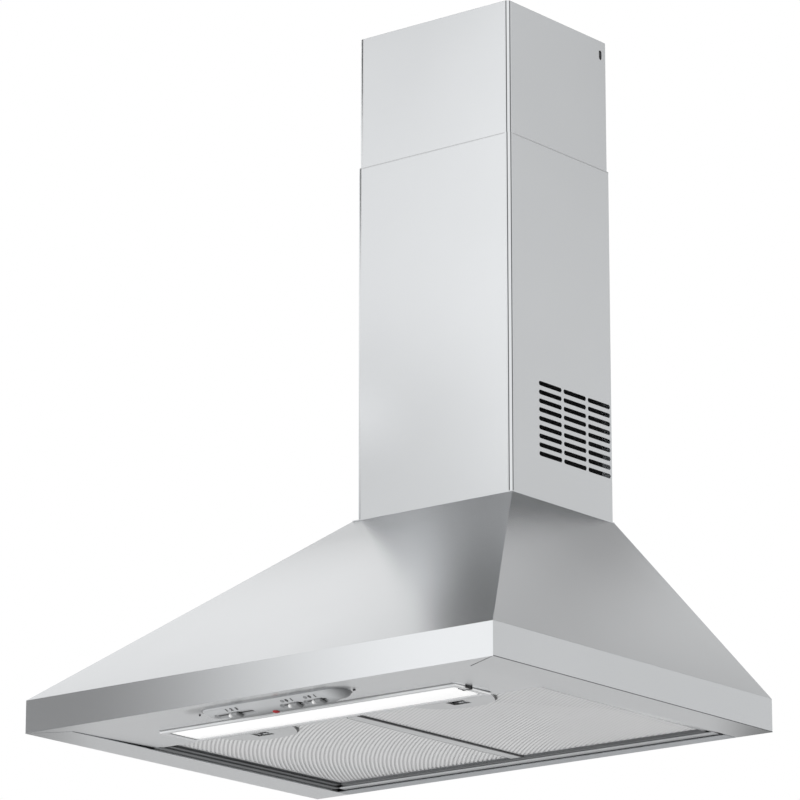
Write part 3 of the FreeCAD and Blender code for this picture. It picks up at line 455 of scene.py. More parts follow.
def soften(width, *names):
    """Rounds the sharp edges of CAD nodes without changing their meshes."""
    for name in names:
        piece = nodes[name]
        weld = piece.modifiers.new("weld", "WELD")
        weld.merge_threshold = weld_reach
        flat = piece.modifiers.new("flat_faces", "DECIMATE")
        flat.decimate_type = "DISSOLVE"
        flat.angle_limit = flat_angle
        edge = piece.modifiers.new("edge", "BEVEL")
        edge.width = width
        edge.segments = edge_segments
        edge.limit_method = "ANGLE"
        edge.angle_limit = sharp_angle
        edge.harden_normals = True


soften(sheet_edge, *sheets)
soften(filter_edge, "filter_frame_left", "filter_frame_right", "centre_rail")
print("edges rounded")

# %% [markdown]
# ## Filter mesh
# Each grease filter is faced with expanded aluminium: a sheet slit in rows and pulled open into diamonds.
# Pulling it bows the strands, so those of one direction are level lines of a function with a gentle square
# term. The strands of the other direction lie straight behind them, and the CAD pad is the layer below.

# %% Expanded mesh
strand_pitch = Vector((5.13, 7.68)) * mm
strand_share = 0.52
strand_tilt = -0.2 * mm
bow_lean = 1.297
bow_length = 119.9 * mm
bow_reach = 385.0 * mm
bow_vertex = 145.0 * mm
cross_pitch = 4.25 * mm
cross_lean = 0.67
cross_share = 0.5
cross_lift = 0.25 * mm
row_step = 2.5 * mm
mesh_drop = 0.7 * mm
mesh_reach = 1.0 * mm
newton_steps = 6
strand_numbers = range(-110, 80)
plate_x = 127.2 * mm
plate_half = 47.6 * mm
plate_depth = 36.0 * mm
plate_front = -309.0 * mm


def adopt(name, data, materials, body="hood"):
    """Puts a mesh into the scene as a piece with its finishes, which rides on a body."""
    for material in materials:
        data.materials.append(material)
    piece = bpy.data.objects.new(name, data)
    scene.collection.objects.link(piece)
    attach(piece, body)
    return piece


def new_piece(name, verts, faces, material, slot, body="hood"):
    """Piece from points and faces."""
    data = bpy.data.meshes.new(name)
    data.from_pydata([tuple(v) for v in verts], [], faces)
    data.update()
    return adopt(name, data, (material,), body)


def bowed_x(number, y):
    """Where a bowed strand crosses the line at one depth, found by Newton's steps."""
    x = 0.0
    for _ in range(newton_steps):
        away = y - bow_lean * x - bow_vertex
        bow = max(away, -bow_reach)
        value = x / strand_pitch.x + y / strand_pitch.y - bow * (2 * away - bow) / bow_length ** 2
        slope = 1 / strand_pitch.x + 2 * bow_lean * bow / bow_length ** 2
        x -= (value - number) / slope
    return x


def cross_x(number, y):
    """Where a straight strand crosses the line at one depth."""
    return number * cross_pitch + cross_lean * y


def under_plate(x, y):
    """True where a half-moon plate covers the mesh."""
    return ((abs(x) - plate_x) / plate_half) ** 2 + ((y - plate_front) / plate_depth) ** 2 < 1


def strands(low, high, share, crossing, levels):
    """Ribbons between each strand's two edges, cut at the sides and left out under the plate."""
    verts = []
    faces = []
    rows = ceil((high.y - low.y) / row_step)
    for number in strand_numbers:
        last = None
        for row in range(rows + 1):
            y = low.y + (high.y - low.y) * row / rows
            ends = [min(high.x, max(low.x, crossing(number + side * share / 2, y))) for side in (-1, 1)]
            index = len(verts)
            verts.extend((x, y, level) for x, level in zip(ends, levels))
            wide = ends[1] > ends[0] and not under_plate(sum(ends) / 2, y)
            if last is not None and wide:
                faces.append((last, index, index + 1, last + 1))
            last = index if wide else None
    return verts, faces


for word in ("left", "right"):
    low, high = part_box("filter_mesh_" + word)
    low = low - Vector((mesh_reach, mesh_reach, mesh_drop))
    high = high + Vector((mesh_reach, mesh_reach, 0.0))
    behind = low.z + cross_lift
    verts, faces = strands(low, high, strand_share, bowed_x, (low.z - strand_tilt, low.z + strand_tilt))
    cross_verts, cross_faces = strands(low, high, cross_share, cross_x, (behind, behind))
    faces += [tuple(i + len(verts) for i in face) for face in cross_faces]
    verts += cross_verts
    new_piece("mesh_sheet_" + word, verts, faces, strand_bright, "filter_aluminium", "filter_" + word)
    print("mesh", word, len(faces), "faces")

# %% [markdown]
# ## Front panel
# The panel under the front edge rises a little towards the back, so a dark slit opens between it and the
# flanges beside it. It dips softly in front of the control pod, where fingers reach the sliders. The dip is
# drawn as rings round the pod's outline, each less deep than the last, and the flat rest is one polygon.
# Shade is painted into the dip's steel: its colour darkens near the pod, by a share that each point of the
# mesh stores.

# %% Panel sheet
panel_low, panel_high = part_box("front_panel")
panel_rise = 2.4 * mm
panel_rear = -317.5 * mm
panel_side = 255.2 * mm
panel_taper = 22.5 * mm
slit = 0.5 * mm
mitre_gap = 0.9 * mm
trim_half = 190.8 * mm
trim_front = -385.4 * mm
trim_rear = -329.5 * mm
pod_half = 92.4 * mm
pod_round = 14.0 * mm
pod_middle = -427.0 * mm
dip_depth = 1.3 * mm
dip_width = 21.5 * mm
dip_power = 1.5
dip_rings = 14
arc_steps = 20


def shares(steps):
    """Even shares from 0 to 1."""
    return [step / steps for step in range(steps + 1)]


def stadium(half, radius, middle_y, steps):
    """Points and outward directions round a slot shape with its length along X."""
    points = []
    for side in (1, -1):
        for share in shares(steps):
            angle = (share - 0.5) * pi + (0 if side > 0 else pi)
            away = Vector((cos(angle), sin(angle)))
            centre = Vector((side * (half - radius), middle_y))
            points.append((centre + away * radius, away))
    return points


def lattice(rows, count, closed=False, flip=False):
    """Four-sided faces between rows of points, which are open or closed into rings."""
    faces = []
    for row in range(rows - 1):
        for index in range(count if closed else count - 1):
            a = row * count + index
            b = row * count + (index + 1) % count
            faces.append((a, a + count, b + count, b) if flip else (a, b, b + count, a + count))
    return faces


def smooth(piece, count):
    """Smooth shading on the first faces of a piece."""
    for face in piece.data.polygons[:count]:
        face.use_smooth = True


def panel_at(y):
    """Height of the panel, which rises a little towards the back."""
    return panel_rise * (y - panel_low.y) / (panel_rear - panel_low.y)


def dip_point(point, away, offset):
    """Point of the dip, so far out from the pod's outline."""
    place = point + away * offset
    deep = dip_depth * (1 - offset / dip_width) ** 2 * max(0.0, -away.y) ** dip_power
    return place.x, place.y, panel_at(place.y) + deep


def front_sheet(ring):
    """Points and faces of the sheet with the dip, the pod's hole and the lamp's notch."""
    verts = [dip_point(*item, dip_width * share) for share in shares(dip_rings) for item in ring]
    faces = lattice(dip_rings + 1, len(ring), closed=True, flip=True)
    side = panel_side - slit
    right = [
        (panel_high.x - slit - mitre_gap, panel_low.y), (side, panel_low.y + panel_taper), (side, panel_rear),
        (trim_half, panel_rear), (trim_half, trim_front)]
    outer = right + [(-x, y) for x, y in reversed(right)]
    hole = dip_rings * len(ring)
    numbers = list(range(len(verts), len(verts) + len(outer))) + list(range(hole, len(verts)))
    loops = [[Vector((x, y, 0.0)) for x, y in outer], [Vector((x, y, 0.0)) for x, y, z in verts[hole:]]]
    verts.extend((x, y, panel_at(y)) for x, y in outer)
    faces.extend(tuple(numbers[c] for c in corners) for corners in tessellate_polygon(loops))
    return verts, faces


pod_ring = stadium(pod_half, pod_round, pod_middle, arc_steps)
dip_faces = dip_rings * len(pod_ring)
panel_sheet = new_piece("panel_sheet", *front_sheet(pod_ring), steel, "brushed_steel")
smooth(panel_sheet, dip_faces)
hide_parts("front_panel")
print("panel", len(panel_sheet.data.polygons), "faces")

# %% Painted shade in the dip
dip_shade = (0.13, 0.135, 0.14)
shade_left = 0.60
shade_right = 0.80
shade_ramp = 2.0


def eased(share):
    """Soft step between 0 and 1."""
    share = min(1.0, max(0.0, share))
    return share * share * (3 - 2 * share)


def with_painted_shade(name, look, darkest_shade):
    """Copy of a finish with painted shade: its colour darkens where the mesh's own value says."""
    material = look.copy()
    material.name = name
    tree = material.node_tree
    shader = tree.nodes["Principled BSDF"]
    colour = shader.inputs["Base Color"].links[0].from_socket
    share = add(tree, "Attribute", attribute_name="painted_shade").outputs["Fac"]
    mix = add(tree, "Mix", {0: share, 6: colour, 7: (*darkest_shade, 1.0)}, data_type="RGBA")
    wire(tree, shader, {"Base Color": mix.outputs[2]})
    return material


def set_painted_shade(piece, shares):
    """Stores how much painted shade each point of a piece has."""
    layer = piece.data.attributes.new("painted_shade", "FLOAT", "POINT")
    for item, share in zip(layer.data, shares):
        item.value = share


# Painted shade: the dip darkens towards the pod's front, more on its right.
dip_shade_shares = []
for share in shares(dip_rings):
    near = eased(shade_ramp * (1 - share))
    for point, away in pod_ring:
        rightness = 0.5 + point.x / pod_half / 2
        dip_shade_shares.append(near * max(0.0, -away.y) * (shade_left + (shade_right - shade_left) * rightness))
set_painted_shade(panel_sheet, dip_shade_shares)
panel_sheet.data.materials.append(with_painted_shade("dip_steel_shaded", steel, dip_shade))
for face in panel_sheet.data.polygons[:dip_faces]:
    face.material_index = 1
print("dull share of the dip up to", round(max(dip_shade_shares), 2))

# %% [markdown]
# ## Control pod
# The pod is a silver moulding whose face slopes down towards the back, with a thin rim and rounded ends.
# Three shallow channels guide the sliders. All of it is one height over each point of the pod's outline,
# so the face is a grid whose rows crowd together at the rim. Shade is painted into its silver, darker towards
# the back and the right end. A grey strip of painted shade marks the gap between its left end and the panel.

# %% Pod
pod_front_level = 0.6 * mm
pod_drop = 6.6 * mm
rim_proud = 0.3 * mm
rim_top = 1.7 * mm
rim_wide = 1.2 * mm
rim_steep = 4
end_roll = 12.5 * mm
side_roll = 2.5 * mm
channel_half = 5.6 * mm
channel_depth = 1.7 * mm
channel_wall = 0.7 * mm
channel_y = -425.5 * mm
channels = {"speed": (-54.0 * mm, 26.0 * mm), "light": (20.0 * mm, 15.0 * mm), "fan": (50.0 * mm, 15.0 * mm)}
pod_shade = (0.16, 0.165, 0.17)
pod_shade_offset = 8.0 * mm
pod_shade_fade = 26.0 * mm
end_shade_fade = 26.0 * mm
pod_columns = 300
pod_end_columns = 24
pod_rows = 64


def face_share(y):
    """Share of the way from the pod's front to its back."""
    return (y - pod_middle + pod_round) / (2 * pod_round)


def face_level(y):
    """Height of the pod's face, which is steep at the front and flat at the back."""
    share = face_share(y)
    return pod_front_level - pod_drop * share * (2 - share)


def inside_slot(x, y, middle_x, middle_y, half, radius):
    """How far a point lies inside a slot shape."""
    along = max(0.0, abs(x - middle_x) - (half - radius))
    return radius - hypot(along, y - middle_y)


def pod_level(x, y):
    """Height of the pod's surface at a point."""
    depth = inside_slot(x, y, 0.0, pod_middle, pod_half, pod_round)
    rim_level = panel_at(y) - rim_proud
    if depth < rim_wide:
        return panel_at(y) + rim_top - (rim_top + rim_proud) * eased(rim_steep * depth / rim_wide)
    roll = side_roll + (end_roll - side_roll) * eased((abs(x) - pod_half + 2 * pod_round) / pod_round)
    share = min(1.0, (depth - rim_wide) / roll)
    level = rim_level + (face_level(y) - rim_level) * sqrt(1 - (1 - share) ** 2)
    for middle_x, half in channels.values():
        inside = inside_slot(x, y, middle_x, channel_y, half, channel_half)
        level += channel_depth * eased(inside / channel_wall)
    return level


def pod_grid():
    """Grid over the pod's outline, with its columns closer at the round ends."""
    straight = pod_half - pod_round
    ends = [straight + pod_round * sin(pi / 2 * share) for share in shares(pod_end_columns)[1:]]
    columns = [-x for x in reversed(ends)]
    columns += [straight * (2 * share - 1) for share in shares(pod_columns)] + ends
    verts = []
    for x in columns:
        along = max(0.0, abs(x) - straight)
        wide = sqrt(max(0.0, pod_round ** 2 - along ** 2))
        for share in shares(pod_rows):
            y = pod_middle + wide * sin(pi * (share - 0.5))
            verts.append((x, y, pod_level(x, y)))
    return verts, lattice(len(columns), pod_rows + 1)


pod_silver_shaded = with_painted_shade("pod_silver_shaded", silver, pod_shade)
pod_verts, pod_faces = pod_grid()
pod = new_piece("pod_face", pod_verts, pod_faces, pod_silver_shaded, "silver_plastic")
smooth(pod, len(pod_faces))
# Painted shade: darker towards the back and towards the right end.
set_painted_shade(pod, [
    max(eased((y - pod_middle + pod_shade_offset) / pod_shade_fade), eased((x - pod_half + end_shade_fade) / end_shade_fade))
    for x, y, z in pod_verts])
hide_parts("control_housing")
print("pod", len(pod_faces), "faces")

# %% Painted shade of the gap at the pod's left end
gap_width = 1.1 * mm
gap_lap = 0.5 * mm
gap_lift = 0.06 * mm
gap_taper = 1.6
# A grey strip laid round the pod's left end is painted shade of the gap there.
gap_verts = []
for point, away in pod_ring[arc_steps + 1:]:
    for offset in (-gap_lap, gap_width * eased(gap_taper * -away.x)):
        x, y, z = dip_point(point, away, offset)
        gap_verts.append((x, y, z - gap_lift))
new_piece("pod_gap_shade", gap_verts, lattice(arc_steps + 1, 2), track_grey, "black_plastic")
print("gap of", arc_steps, "faces")

# %% [markdown]
# ## Sliders, marks and screws
# Each slider is a soft block with a white bead at its front corner, which the thumb pushes; the bead's white
# is a painted highlight. Beside the channels stand plain digits and a ring. They are printed on the slope, so
# they are laid on the same sloping frame.
# A small dark screw stands at each end of the pod, and a red dome on its slope shows that the hood is on.

# %% Sliders
thumb_size = Vector((8.0, 11.0, 4.0)) * mm
thumb_round = 1.7 * mm
thumb_shift = Vector((-1.8, -0.6, 0.0)) * mm
bead_radius = 2.2 * mm
bead_place = Vector((-7.6, 2.4, 1.2)) * mm
slit_half = 1.4 * mm
slit_lift = 0.05 * mm


def on_face(x, y):
    """Frame on the pod's slope: right, towards the front edge, and out of the face."""
    slope = atan(pod_drop * (1 - face_share(y)) / pod_round)
    return Matrix.Translation((x, y, face_level(y))) @ Matrix.Rotation(pi - slope, 4, "X")


def bmesh_piece(name, shape, materials, body="hood"):
    """Smooth piece from a bmesh."""
    data = bpy.data.meshes.new(name)
    shape.to_mesh(data)
    shape.free()
    for face in data.polygons:
        face.use_smooth = True
    return adopt(name, data, materials, body)


def rounded_block(shape, size, edge, place):
    """Adds a block with rounded edges to a bmesh."""
    made = bmesh.ops.create_cube(shape, size=1.0, matrix=place @ Matrix.Diagonal((*size, 1.0)))
    edges = {e for v in made["verts"] for e in v.link_edges}
    bmesh.ops.bevel(shape, geom=list(edges), offset=edge, segments=4, affect="EDGES", profile=0.5)


def slider(word, x):
    """Thumb block with its bead."""
    shape = bmesh.new()
    place = on_face(x, channel_y)
    middle = Matrix.Translation(thumb_shift + Vector((0, 0, thumb_size.z / 2 - channel_depth)))
    rounded_block(shape, thumb_size, thumb_round, place @ middle)
    # The bead's white is a painted highlight.
    ball = place @ Matrix.Translation(bead_place) @ Matrix.Scale(bead_radius, 4)
    bead = bmesh.ops.create_uvsphere(shape, u_segments=20, v_segments=12, radius=1.0, matrix=ball)
    for face in {f for v in bead["verts"] for f in v.link_faces}:
        face.material_index = 1
    piece = bmesh_piece(word + "_slider", shape, (thumb_grey, bead_highlight_white), word + "_knob")
    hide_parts(word + "_knob")


def slit_shade_sheet(word, middle_x, half):
    """Black sheet on the floor of a channel: painted shade of the slit that the slider's stem runs in."""
    base = on_face(middle_x, channel_y) @ Matrix.Translation((0, 0, slit_lift - channel_depth))
    verts = [base @ p.to_3d() for p, away in stadium(half - 2 * slit_half, slit_half, 0.0, arc_steps)]
    new_piece(word + "_slit", verts, [tuple(range(len(verts)))], black, "black_plastic")


for word, (middle_x, half) in channels.items():
    low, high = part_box(word + "_knob")
    slider(word, (low.x + high.x) / 2)
    slit_shade_sheet(word, middle_x, half)
print(len(channels), "sliders")

# %% Marks
mark_size = 5.6 * mm
mark_bold = 0.45 * mm
mark_y = -436.0 * mm
mark_lift = 0.08 * mm
marks = (
    ("1", -57.4 * mm), ("2", -51.0 * mm), ("3", -44.4 * mm), ("0", 20.0 * mm), ("1", 26.4 * mm),
    ("0", 49.3 * mm), ("1", 56.0 * mm))
ring_places = (14.6 * mm, 43.8 * mm)
ring_radius = 2.1 * mm
ring_width = 0.7 * mm


def mark_place(x):
    """Frame a hair's breadth off the pod's slope."""
    return on_face(x, mark_y) @ Matrix.Translation((0, 0, mark_lift))


def printed(name, word, x):
    """One printed character."""
    curve = bpy.data.curves.new(name, "FONT")
    curve.body = word
    curve.size = mark_size
    curve.offset = mark_bold
    curve.align_x = "CENTER"
    curve.align_y = "CENTER"
    maker = bpy.data.objects.new(name + "_curve", curve)
    scene.collection.objects.link(maker)
    data = bpy.data.meshes.new_from_object(maker.evaluated_get(bpy.context.evaluated_depsgraph_get()))
    bpy.data.objects.remove(maker)
    data.transform(mark_place(x))
    data.materials.clear()
    adopt(name, data, (black,))


def printed_ring(name, x):
    """Small printed ring with a dot, beside a slider."""
    shape = bmesh.new()
    place = mark_place(x)
    rings = []
    for radius in (ring_radius - ring_width, ring_radius):
        turns = [Matrix.Rotation(2 * pi * i / arc_steps, 4, "Z") for i in range(arc_steps)]
        rings.append([shape.verts.new(place @ turn @ Vector((radius, 0, 0))) for turn in turns])
    corners = rings[0] + rings[1]
    for face in lattice(2, arc_steps, closed=True, flip=True):
        shape.faces.new([corners[i] for i in face])
    bmesh.ops.create_circle(shape, cap_ends=True, segments=12, radius=ring_width, matrix=place)
    bmesh_piece(name, shape, (black,))


for index, (word, x) in enumerate(marks):
    printed(f"mark_{index}", word, x)
for index, x in enumerate(ring_places):
    printed_ring(f"mark_ring_{index}", x)
print(len(marks) + len(ring_places), "marks")

# %% Pod screws and pilot
screw_x = 98.3 * mm
screw_left_x = -100.4 * mm
screw_radius = 1.5 * mm
screw_small = 1.05 * mm
screw_height = 1.0 * mm
head_taper = 0.75
recess_half = 0.45 * mm
pilot_x = -8.5 * mm
pilot_y = -417.6 * mm
pilot_radius = 3.9 * mm
pilot_flat = 0.5


def pod_screw(name, x, radius):
    """Low round head with a bar across it."""
    shape = bmesh.new()
    middle = Vector((x, pod_middle, panel_at(pod_middle) - screw_height / 2))
    place = Matrix.Translation(middle) @ Matrix.Rotation(pi, 4, "X")
    bmesh.ops.create_cone(
        shape, cap_ends=True, segments=24, radius1=radius, radius2=radius * head_taper,
        depth=screw_height, matrix=place)
    bar = Vector((2 * radius, 2 * recess_half, recess_half))
    rounded_block(shape, bar, recess_half / 4, place @ Matrix.Translation((0, 0, screw_height / 2)))
    return bmesh_piece(name, shape, (black,))


screw = pod_screw("pod_screw_left", screw_left_x, screw_small)
pod_screw("pod_screw_right", screw_x, screw_radius)
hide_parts("control_screws")
shape = bmesh.new()
dome = Matrix.Diagonal((pilot_radius, pilot_radius, pilot_radius * pilot_flat, 1.0))
bmesh.ops.create_uvsphere(
    shape, u_segments=28, v_segments=16, radius=1.0, matrix=on_face(pilot_x, pilot_y) @ dome)
pilot = bmesh_piece("pilot_dome", shape, (red,))
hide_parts("pilot_lens")
print("two screws and the pilot")

# %% [markdown]
# ## Lamp
# The lamp's white cover sits in a pale frame with a raised lip and a groove inside it. The groove's dark grey
# and a dark band round the frame's foot are painted shade. The frame is one profile carried round a rectangle
# with mitred corners. A dark clip hooks over the lip at the right end, and the ends inside the lip glow like
# the cover. A glowing strip on the frame's right end is a painted glint. Above the panel a folded tray holds
# the tubes, and its feet stand just clear of the panel's rise.

# %% Lamp frame
lip_level = -0.55 * mm
lip_height = 2.6 * mm
lip_width = 6.4 * mm
lip_edge = 0.4 * mm
groove_level = 1.0 * mm
groove_width = 2.6 * mm
neck_inset = 0.8 * mm
shade_band_width = 5.5 * mm
shade_band_side = 1.0 * mm
shade_band_proud = 0.1 * mm
shade_band_cut = 4.0 * mm
glint_lift = 0.05 * mm
glint_height = 1.5 * mm


def round_trim(profile):
    """Profile of (inset, level) points carried round the lamp's rectangle, corners mitred."""
    verts = []
    for inset, level in profile:
        x = trim_half - inset
        verts += [(-x, trim_front + inset, level), (x, trim_front + inset, level)]
        verts += [(x, trim_rear - inset, level), (-x, trim_rear - inset, level)]
    return verts, lattice(len(profile), 4, closed=True)


lip_top = lip_level + lip_height
lip_profile = [
    (neck_inset, lip_top), (0.0, lip_top - lip_edge), (0.0, lip_level + lip_edge), (lip_edge, lip_level),
    (lip_width - lip_edge, lip_level), (lip_width, lip_level + lip_edge)]
groove_profile = [
    (lip_width, lip_level + lip_edge), (lip_width, groove_level),
    (lip_width + groove_width, groove_level), (lip_width + groove_width, lip_top)]
lip = new_piece("lamp_frame", *round_trim(lip_profile), pale, "trim_plastic")
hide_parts("lamp_trim")
# The groove's dark grey is painted shade.
new_piece("lamp_groove", *round_trim(groove_profile), track_grey, "trim_plastic")
# Painted shade: a dark grey band round the frame's foot, widest in front.
shade_band_verts, shade_band_faces = round_trim([(-shade_band_side, -shade_band_proud), (neck_inset, -shade_band_proud)])
for index, (x, y, z) in enumerate(shade_band_verts):
    z += panel_at(y)
    if y < trim_front:
        x = max(x, shade_band_cut - trim_half)
        y = trim_front - shade_band_width
    shade_band_verts[index] = (x, y, z)
new_piece("lamp_shade_band", shade_band_verts, shade_band_faces, track_grey, "black_plastic")
# Painted glint: a glowing white strip on the frame's outer right end.
glint_x = trim_half + glint_lift
glint = [(glint_x, y, z) for y in (trim_front, trim_rear) for z in (lip_level, lip_level + glint_height)]
new_piece("lamp_glint", glint, [(0, 2, 3, 1)], opal_white, "lens_white")
print("lamp frame", round(2 * trim_half, 3), "m long")

# %% Cover and clip
cover_half = 180.0 * mm
cover_front = -376.0 * mm
cover_rear = -331.0 * mm
cover_level = 0.1 * mm
cover_height = 3.4 * mm
cover_edge = 0.6 * mm
end_gap = 0.5 * mm
clip_y = -366.0 * mm
clip_length = 9.0 * mm
clip_bar = 2.2 * mm
clip_edge = 0.3 * mm
sides = ((-1, "left"), (1, "right"))


def bar_piece(name, spans, edge, material, body="hood"):
    """Rounded blocks between given limits, as one piece."""
    shape = bmesh.new()
    for x0, x1, y0, y1, z0, z1 in spans:
        size = Vector((x1 - x0, y1 - y0, z1 - z0))
        middle = Vector((x0 + x1, y0 + y1, z0 + z1)) / 2
        rounded_block(shape, size, edge, Matrix.Translation(middle))
    return bmesh_piece(name, shape, (material,), body)


def about(x, half, *rest):
    """Limits of a block that reaches as far to the left of an X as to the right."""
    return (x - half, x + half, *rest)


cover_top = cover_level + cover_height
cover_span = about(0.0, cover_half, cover_front, cover_rear, cover_level, cover_top)
cover = bar_piece("lamp_cover", [cover_span], cover_edge, opal_white, "lens")
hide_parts("lamp_lens")
inner = trim_half - lip_width
for side, word in sides:
    x0, x1 = sorted((side * (cover_half + end_gap), side * inner))
    span = (x0, x1, cover_front, cover_rear, cover_level + end_gap, cover_top)
    bar_piece("lamp_end_" + word, [span], cover_edge, opal_white)
y0 = clip_y - clip_length / 2
y1 = clip_y + clip_length / 2
near = inner - clip_bar
far = trim_half + end_gap + clip_bar
panel_level = panel_at(clip_y)
clip_spans = [
    (trim_half + end_gap, far, y0, y1, lip_level, panel_level),
    (near, far, y1 - clip_bar, y1, lip_level - end_gap, panel_level),
    (near, inner, y0, y1, lip_level, panel_level)]
clip = bar_piece("lamp_clip", clip_spans, clip_edge, black)
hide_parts("lens_clips")
print("cover, ends and clip")

# %% Lamp tray
pan_low, pan_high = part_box("lamp_tray")
pan_sheet = 1.0 * mm
pan_tab = 10.0 * mm
pan_base = panel_rise + shade_band_proud
pan_edge = 0.3 * mm
x0 = pan_low.x + pan_tab
x1 = pan_high.x - pan_tab
roof = pan_high.z - pan_sheet
pan_spans = [
    (x0, x1, pan_low.y, pan_high.y, roof, pan_high.z),
    (x0, x1, pan_low.y, pan_low.y + pan_sheet, pan_base, roof),
    (x0, x1, pan_high.y - pan_sheet, pan_high.y, pan_base, roof),
    (x0, x0 + pan_sheet, pan_low.y, pan_high.y, pan_base, roof),
    (x1 - pan_sheet, x1, pan_low.y, pan_high.y, pan_base, roof),
    (pan_low.x, x0 + pan_sheet, pan_low.y, pan_high.y, pan_base, pan_base + pan_sheet),
    (x1 - pan_sheet, pan_high.x, pan_low.y, pan_high.y, pan_base, pan_base + pan_sheet)]
pan = bar_piece("lamp_pan", pan_spans, pan_edge, mill)
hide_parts("lamp_tray")
print("lamp tray of", len(pan_spans), "sheets")

# %% [markdown]
# ## Rail cap and latches
# A cap on the bar between the filters hangs lower than the mesh, so that its right side shows as a dark
# line. Each filter has a half-moon plate with a pocket, and a black crescent along the plate's right end is
# painted shade of its edge. The latch in the pocket is a dark block that slides. A bridge across the pocket's
# back carries two silver tabs and stays with the filter, so the block clears it when it is pulled.

# %% Rail cap
rail_low, rail_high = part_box("centre_rail")
cap_drop = 1.6 * mm
cap_edge = 0.4 * mm
gasket_wide = 3.5 * mm
gasket_thin = 1.3 * mm
gasket_level = 4.3 * mm
cap = (rail_low.x, rail_high.x, rail_low.y, rail_high.y, rail_low.z - cap_drop, rail_low.z)
bar_piece("rail_cap", [cap], cap_edge, aluminium)
gaskets = [
    (rail_high.x, rail_high.x + gasket_wide, rail_low.y, rail_high.y, gasket_level, rail_low.z),
    (rail_low.x - gasket_thin, rail_low.x, rail_low.y, rail_high.y, gasket_level, rail_low.z)]
bar_piece("rail_gaskets", gaskets, cap_edge, black)
print("rail cap and", len(gaskets), "gaskets")

# %% Half-moon plates
plate_level = 4.6 * mm
plate_sheet = 0.8 * mm
pocket_half = 10.6 * mm
pocket_front = -306.0 * mm
pocket_rear = -290.5 * mm
plate_steps = 40
crescent_width = 3.0 * mm
crescent_lift = 0.05 * mm
crescent_start = radians(4.0)
crescent_end = radians(44.0)
crescent_steps = 14


def plate_point(middle_x, angle, grow, level):
    """Point near the plate's round edge."""
    x = middle_x + (plate_half + grow) * cos(angle)
    return Vector((x, plate_front + (plate_depth + grow) * sin(angle), level))


def half_moon(name, middle_x, body):
    """Flat plate with a round back and a pocket."""
    outer = [plate_point(middle_x, pi * share, 0.0, plate_level) for share in shares(plate_steps)]
    pocket = (
        (-pocket_half, pocket_front), (pocket_half, pocket_front),
        (pocket_half, pocket_rear), (-pocket_half, pocket_rear))
    hole = [Vector((middle_x + x, y, plate_level)) for x, y in pocket]
    faces = [tuple(corners) for corners in tessellate_polygon([outer, hole])]
    plate = new_piece(name, outer + hole, faces, aluminium, "filter_aluminium", body)
    thick = plate.modifiers.new("thickness", "SOLIDIFY")
    thick.thickness = plate_sheet
    thick.offset = 1.0
    return plate


def crescent(name, middle_x, body):
    """Black strip along the right end of a plate, widest in its middle: painted shade of the plate's edge."""
    verts = []
    for share in shares(crescent_steps):
        angle = crescent_start + (crescent_end - crescent_start) * share
        grow = crescent_width * sin(pi * share) / 2
        verts += [plate_point(middle_x, angle, side * grow, plate_level - crescent_lift) for side in (-1, 1)]
    new_piece(name, verts, lattice(crescent_steps + 1, 2), black, "black_plastic", body)


for side, word in sides:
    plate = half_moon("moon_plate_" + word, side * plate_x, "filter_" + word)
    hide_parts("latch_plate_" + word)
    crescent("moon_edge_shade_" + word, side * plate_x, "filter_" + word)
print("two plates", round(2 * plate_half, 4), "m wide")

# %% Latches
tab_thickness = 1.4 * mm
tab_gap = 1.6 * mm
tab_shift = 3.6 * mm
tab_wide = 7.0 * mm
tab_level = 5.5 * mm
tab_top = 6.9 * mm
latch_floor = 8.8 * mm
latch_top = 10.6 * mm
latch_front = -305.6 * mm
latch_rear = -292.5 * mm
tongue_half = 5.0 * mm
tongue_front = -308.6 * mm
latch_play = 0.4 * mm
latch_edge = 0.3 * mm
bridge_lap = 1.2 * mm
latch_half = pocket_half - latch_play
tab_front = latch_rear - tab_thickness
for side, word in sides:
    x = side * plate_x
    split = x + tab_shift
    base = about(x, latch_half, latch_front, latch_rear, latch_floor, latch_top)
    tongue = about(x, tongue_half, tongue_front, latch_rear, latch_floor, latch_top)
    bridge = about(
        x, pocket_half + bridge_lap, tab_front, latch_rear, tab_top - latch_edge, latch_floor - latch_play)
    tabs = [
        (split - tab_wide, split - tab_gap / 2, tab_front, latch_rear, tab_level, tab_top),
        (split + tab_gap / 2, x + latch_half, tab_front, latch_rear, tab_level, tab_top)]
    block = bar_piece(
        "latch_block_" + word, [base, tongue], latch_edge, black, "latch_" + word)
    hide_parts("filter_latch_" + word)
    bar_piece("latch_bridge_" + word, [bridge], latch_edge, black, "filter_" + word)
    bar_piece("latch_tabs_" + word, tabs, latch_edge, silver, "filter_" + word)
print("two latches")

# %% [markdown]
# ## Filter seat
# The filters lie in a stepped frame of sheet. Its left side and its inner steps at the back are dark grey,
# painted shade, while its right side is bare steel, and a silver bar closes it at the back. Each side is a
# few bars, one for each step. At the front the panel's own edge is folded up, and its bright ledge carries
# the filters there. A pale strip along the flange on the left is a painted highlight of its edge.

# %% Stepped seat
opening_half = 256.0 * mm
opening_rear = -18.0 * mm
seat_step = 9.0 * mm
seat_lap = 2.5 * mm
first_step = 1.9 * mm
second_step = 3.6 * mm
seat_wall = 2.4 * mm
seat_sheet = 1.5 * mm
seat_top = 15.8 * mm
seat_edge = 0.4 * mm
ledge_level = 5.0 * mm
ledge_sheet = 0.8 * mm
highlight_wide = 1.6 * mm
highlight_proud = 0.2 * mm
seat_front = panel_rear - seat_lap
seat_rear = opening_rear + seat_lap
seat_half = opening_half + seat_lap
first_top = first_step + seat_sheet
second_top = second_step + seat_sheet


